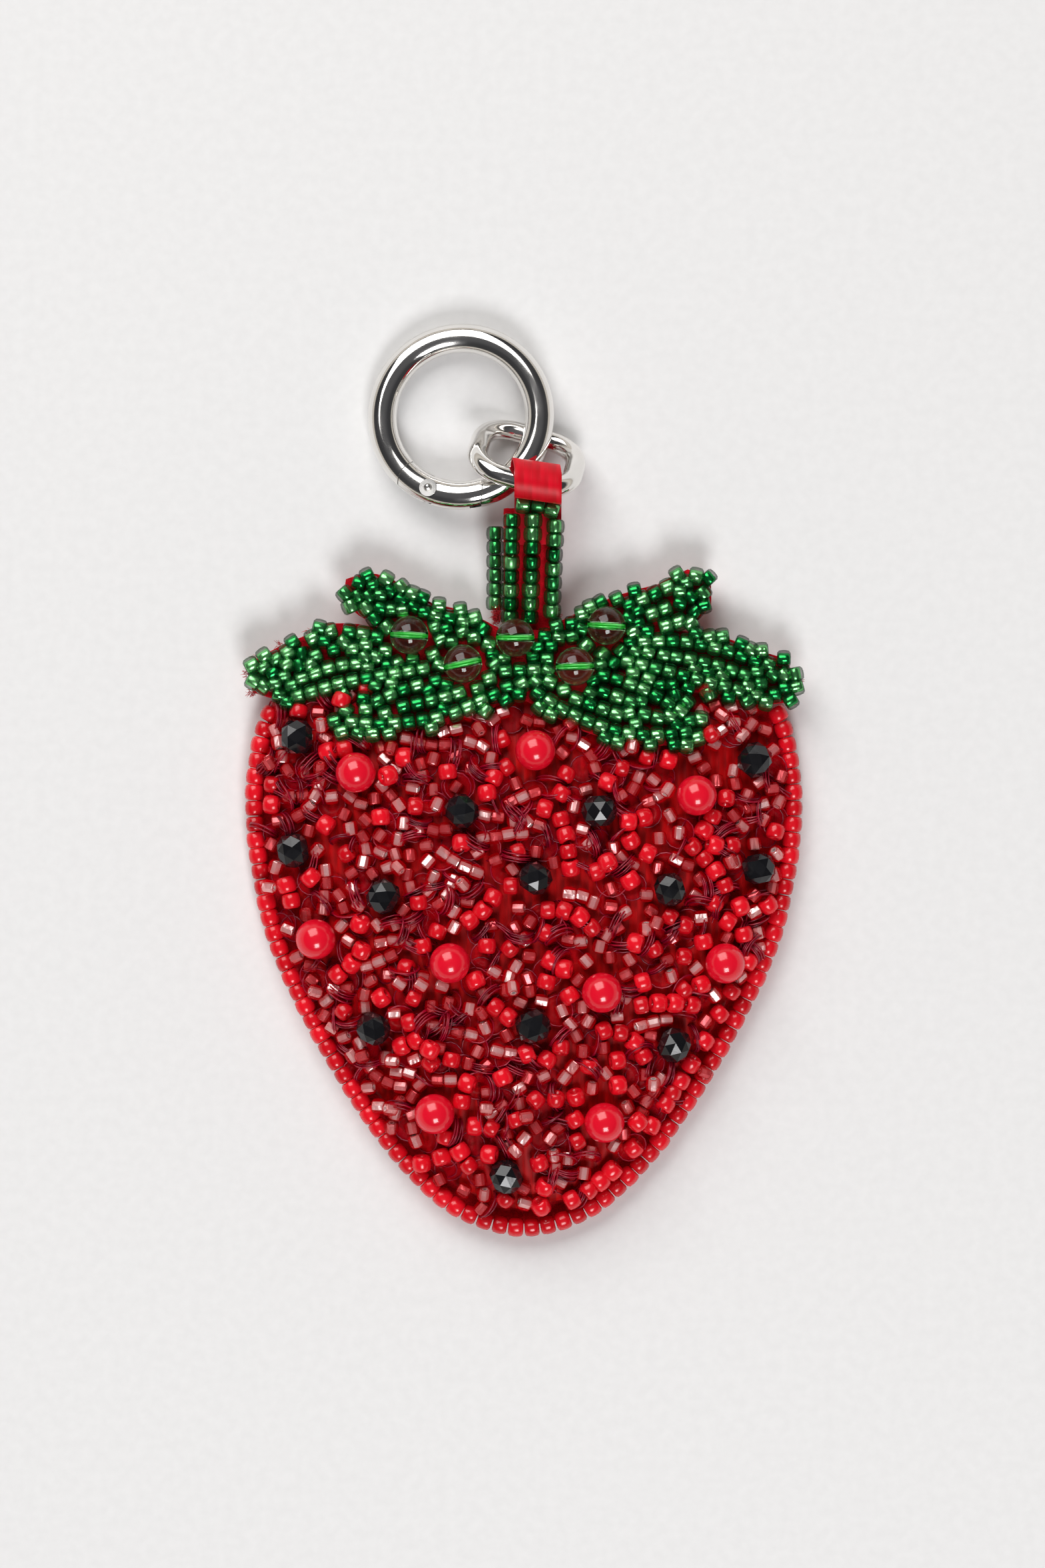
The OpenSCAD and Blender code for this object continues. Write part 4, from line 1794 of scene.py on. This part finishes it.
@dataclass
class Ribbon:
    """One satin ribbon: two tails on the stem and the loop round the link."""

    palette: Palette
    width: float = 7.0
    thickness: float = 0.28
    middle_x: float = 2.1
    fold: tuple[float, float] = (43.2, 7.3)
    tail_start: float = 35.6
    lean: float = 0.16
    skew: float = -0.14
    shift: float = 1.5
    across: int = 12
    section: tuple[tuple[float, float, float], ...] = (
        (0.4, 0.2, 0.0),
        (0.15, 1.3, 0.3),
        (-0.35, 2.5, 0.8),
        (-1.15, 3.85, 1.0),
        (-0.75, 5.7, 1.0),
        (1.1, 6.6, 1.0),
        (3.1, 6.0, 1.0),
        (4.45, 4.3, 1.0),
        (4.3, 2.5, 1.0),
        (3.1, 1.5, 1.0),
        (2.0, 0.95, 1.0),
        (1.15, 0.25, 0.8),
        (0.4, -0.2, 0.0),
    )

    def _path(self) -> list[tuple[float, float, float, float]]:
        """Return the ribbon's middle line.

        Returns:
            Rows of y, z, how much the loop's lean counts, and how far round
            the loop the row is.
        """
        y0, z0 = self.fold
        front = [
            (y, z0 + 0.2, 0.0)
            for y in np.arange(self.tail_start, y0 - 0.3, 0.8)
        ]
        back = [(y, z0 - 0.2, 0.0) for y, _, _ in reversed(front)]
        loop = [(y0 + a, z0 + b, c) for a, b, c in self.section]
        rough = front + loop + back
        fine: list[tuple[float, float, float, float]] = []
        count = len(rough)
        for i in range(count - 1):
            p = [np.array(rough[max(0, min(count - 1, i + d))]) for d in
                 (-1, 0, 1, 2)]
            for k in range(5):
                t = k / 5
                q = 0.5 * (
                    2 * p[1]
                    + (p[2] - p[0]) * t
                    + (2 * p[0] - 5 * p[1] + 4 * p[2] - p[3]) * t * t
                    + (3 * p[1] - p[0] - 3 * p[2] + p[3]) * t**3
                )
                along = (i + t - len(front)) / (len(loop) - 1)
                fine.append((*q, min(1.0, max(0.0, along))))
        fine.append((*rough[-1], 1.0))
        return fine

    def build(self) -> bpy.types.Object:
        """Weave the ribbon along its path.

        Returns:
            The ribbon.
        """
        path = self._path()
        verts: list[Vector] = []
        n = self.across + 1
        for y, z, lean, along in path:
            back = self.shift * lean * max(0.0, along - 0.5) * 2 * (
                1 - along**6
            )
            for j in range(n):
                x = (j / self.across - 0.5) * self.width
                verts.append(
                    Vector(
                        (
                            self.middle_x + x - back,
                            y + x * self.skew * lean,
                            z - self.lean * x * lean,
                        )
                    )
                    * MM
                )
        faces = []
        for i in range(len(path) - 1):
            for j in range(self.across):
                a = i * n + j
                faces.append([a, a + 1, a + n + 1, a + n])
        obj = new_object("ribbon", verts, faces)
        solid = obj.modifiers.new("Thickness", "SOLIDIFY")
        solid.thickness = self.thickness * MM
        solid.offset = 0
        bevel = obj.modifiers.new("Edge", "BEVEL")
        bevel.width = 0.06 * MM
        bevel.segments = 2
        bevel.limit_method = "ANGLE"
        bake(obj)
        face_out(obj)
        soften(obj)
        obj.data.materials.append(self.palette.get("red ribbon satin"))
        length = sum(
            math.hypot(b[0] - a[0], b[1] - a[1])
            for a, b in zip(path, path[1:])
        )
        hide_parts("ribbon_tails", "ribbon_loop")
        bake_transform(obj)
        log.info("ribbon: %.1f mm of %.1f mm", length, self.width)
        return obj


# ---- large beads, edging and metal ---------------------------------------


@dataclass
class Trim:
    """The large beads, the edging and the metal parts."""

    palette: Palette
    shapes: BeadShapes
    sower: Sower

    def build(self) -> None:
        """Make or dress every piece of trim."""
        edging = self.sower.sow(
            "red_edging",
            read_seats("edge_seed_beads"),
            self.shapes.seed,
            1.42 * MM,
            self.palette.get("red opaque glass"),
            31,
            0.05,
        )
        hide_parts("edge_seed_beads")
        black = self.sower.sow(
            "black_cut_beads",
            read_seats("black_faceted_beads"),
            self.shapes.cut_round,
            2.62 * MM,
            self.palette.get("black cut glass"),
            32,
            0.03,
        )
        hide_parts("black_faceted_beads")
        self.palette.dress_node("red_round_beads", "red round glass")
        for node in ("oval_link", "ring_frame", "gate"):
            self.palette.dress_node(node, "bright plating")
        self.palette.dress_node("gate_rivet", "rivet plating")


# ---- studio --------------------------------------------------------------


@dataclass
class Studio:
    """Pale table, soft light and a camera straight above."""

    height: float = 1.1
    view_height: float = 0.2352
    centre: tuple[float, float] = (-0.0002, -0.0001)

    def floor(self) -> None:
        """Lay the pale table."""
        s = 1.2
        obj = new_object(
            "floor",
            [(-s, -s, 0), (s, -s, 0), (s, s, 0), (-s, s, 0)],
            [[0, 1, 2, 3]],
        )
        mat = bpy.data.materials.new("pale paper")
        mat.use_nodes = True
        tree = mat.node_tree
        shader = tree.nodes["Principled BSDF"]
        noise = tree.nodes.new("ShaderNodeTexNoise")
        noise.inputs["Scale"].default_value = 600
        where = tree.nodes.new("ShaderNodeTexCoord")
        tree.links.new(where.outputs["Object"], noise.inputs["Vector"])
        colour = FinishBase._ramp(
            tree,
            noise.outputs["Fac"],
            [(0.3, (0.80, 0.795, 0.79)), (0.7, (0.83, 0.825, 0.82))],
        )
        tree.links.new(colour, shader.inputs["Base Color"])
        shader.inputs["Roughness"].default_value = 0.9
        obj.data.materials.append(mat)

    def lamp(
        self, name: str, place: Point, size: float, power: float, tint: Colour
    ) -> None:
        """Hang one soft lamp aimed at the charm.

        Args:
            name: Name of the lamp.
            place: Its place in metres.
            size: Side of the square lamp in metres.
            power: Its power in watts.
            tint: Its colour.
        """
        data = bpy.data.lights.new(name, "AREA")
        data.size = size
        data.energy = power
        data.color = tint
        obj = bpy.data.objects.new(name, data)
        bpy.context.collection.objects.link(obj)
        obj.location = place
        obj.rotation_euler = (-Vector(place)).to_track_quat(
            "-Z", "Y"
        ).to_euler()

    def build(self) -> None:
        """Set up the table, the lamps, the room and the camera."""
        self.floor()
        self.lamp("north", (-0.35, 0.9, 0.95), 1.1, 16.4, (1.0, 0.99, 0.98))
        self.lamp("south", (0.15, -0.8, 1.0), 0.5, 9.4, (0.99, 0.99, 1.0))
        world = bpy.data.worlds.new("room")
        bpy.context.scene.world = world
        world.use_nodes = True
        tree = world.node_tree
        back = tree.nodes["Background"]
        where = tree.nodes.new("ShaderNodeTexCoord")
        split = tree.nodes.new("ShaderNodeSeparateXYZ")
        tree.links.new(where.outputs["Generated"], split.inputs[0])
        colour = FinishBase._ramp(
            tree,
            split.outputs[2],
            [
                (0.0, (0.50, 0.46, 0.42)),
                (0.2, (0.70, 0.66, 0.60)),
                (0.34, (0.04, 0.04, 0.042)),
                (0.75, (0.05, 0.05, 0.054)),
                (0.97, (0.10, 0.10, 0.105)),
            ],
        )
        tree.links.new(colour, back.inputs["Color"])
        back.inputs["Strength"].default_value = 1.0
        bpy.context.scene.view_settings.view_transform = "Standard"
        data = bpy.data.cameras.new("camera")
        data.sensor_fit = "VERTICAL"
        data.sensor_height = 36.0
        data.lens = 36.0 * self.height / self.view_height
        camera = bpy.data.objects.new("camera", data)
        bpy.context.collection.objects.link(camera)
        camera.location = (*self.centre, self.height)
        bpy.context.scene.camera = camera


def main() -> None:
    """Build the charm piece by piece."""
    logging.basicConfig(level=logging.INFO, format="%(message)s")
    palette = Palette()
    shapes = BeadShapes()
    sower = Sower()
    body = Body(palette)
    pulls = [
        s.place
        for node in ("black_faceted_beads", "red_round_beads")
        for s in read_seats(node)
    ]
    body.pad(pulls)
    body.back()
    Field(palette, shapes, sower).build()
    Greenery(palette, shapes, sower).build()
    Ribbon(palette).build()
    Trim(palette, shapes, sower).build()
    shapes.drop()
    Studio().build()


if __name__ == "__main__":
    main()
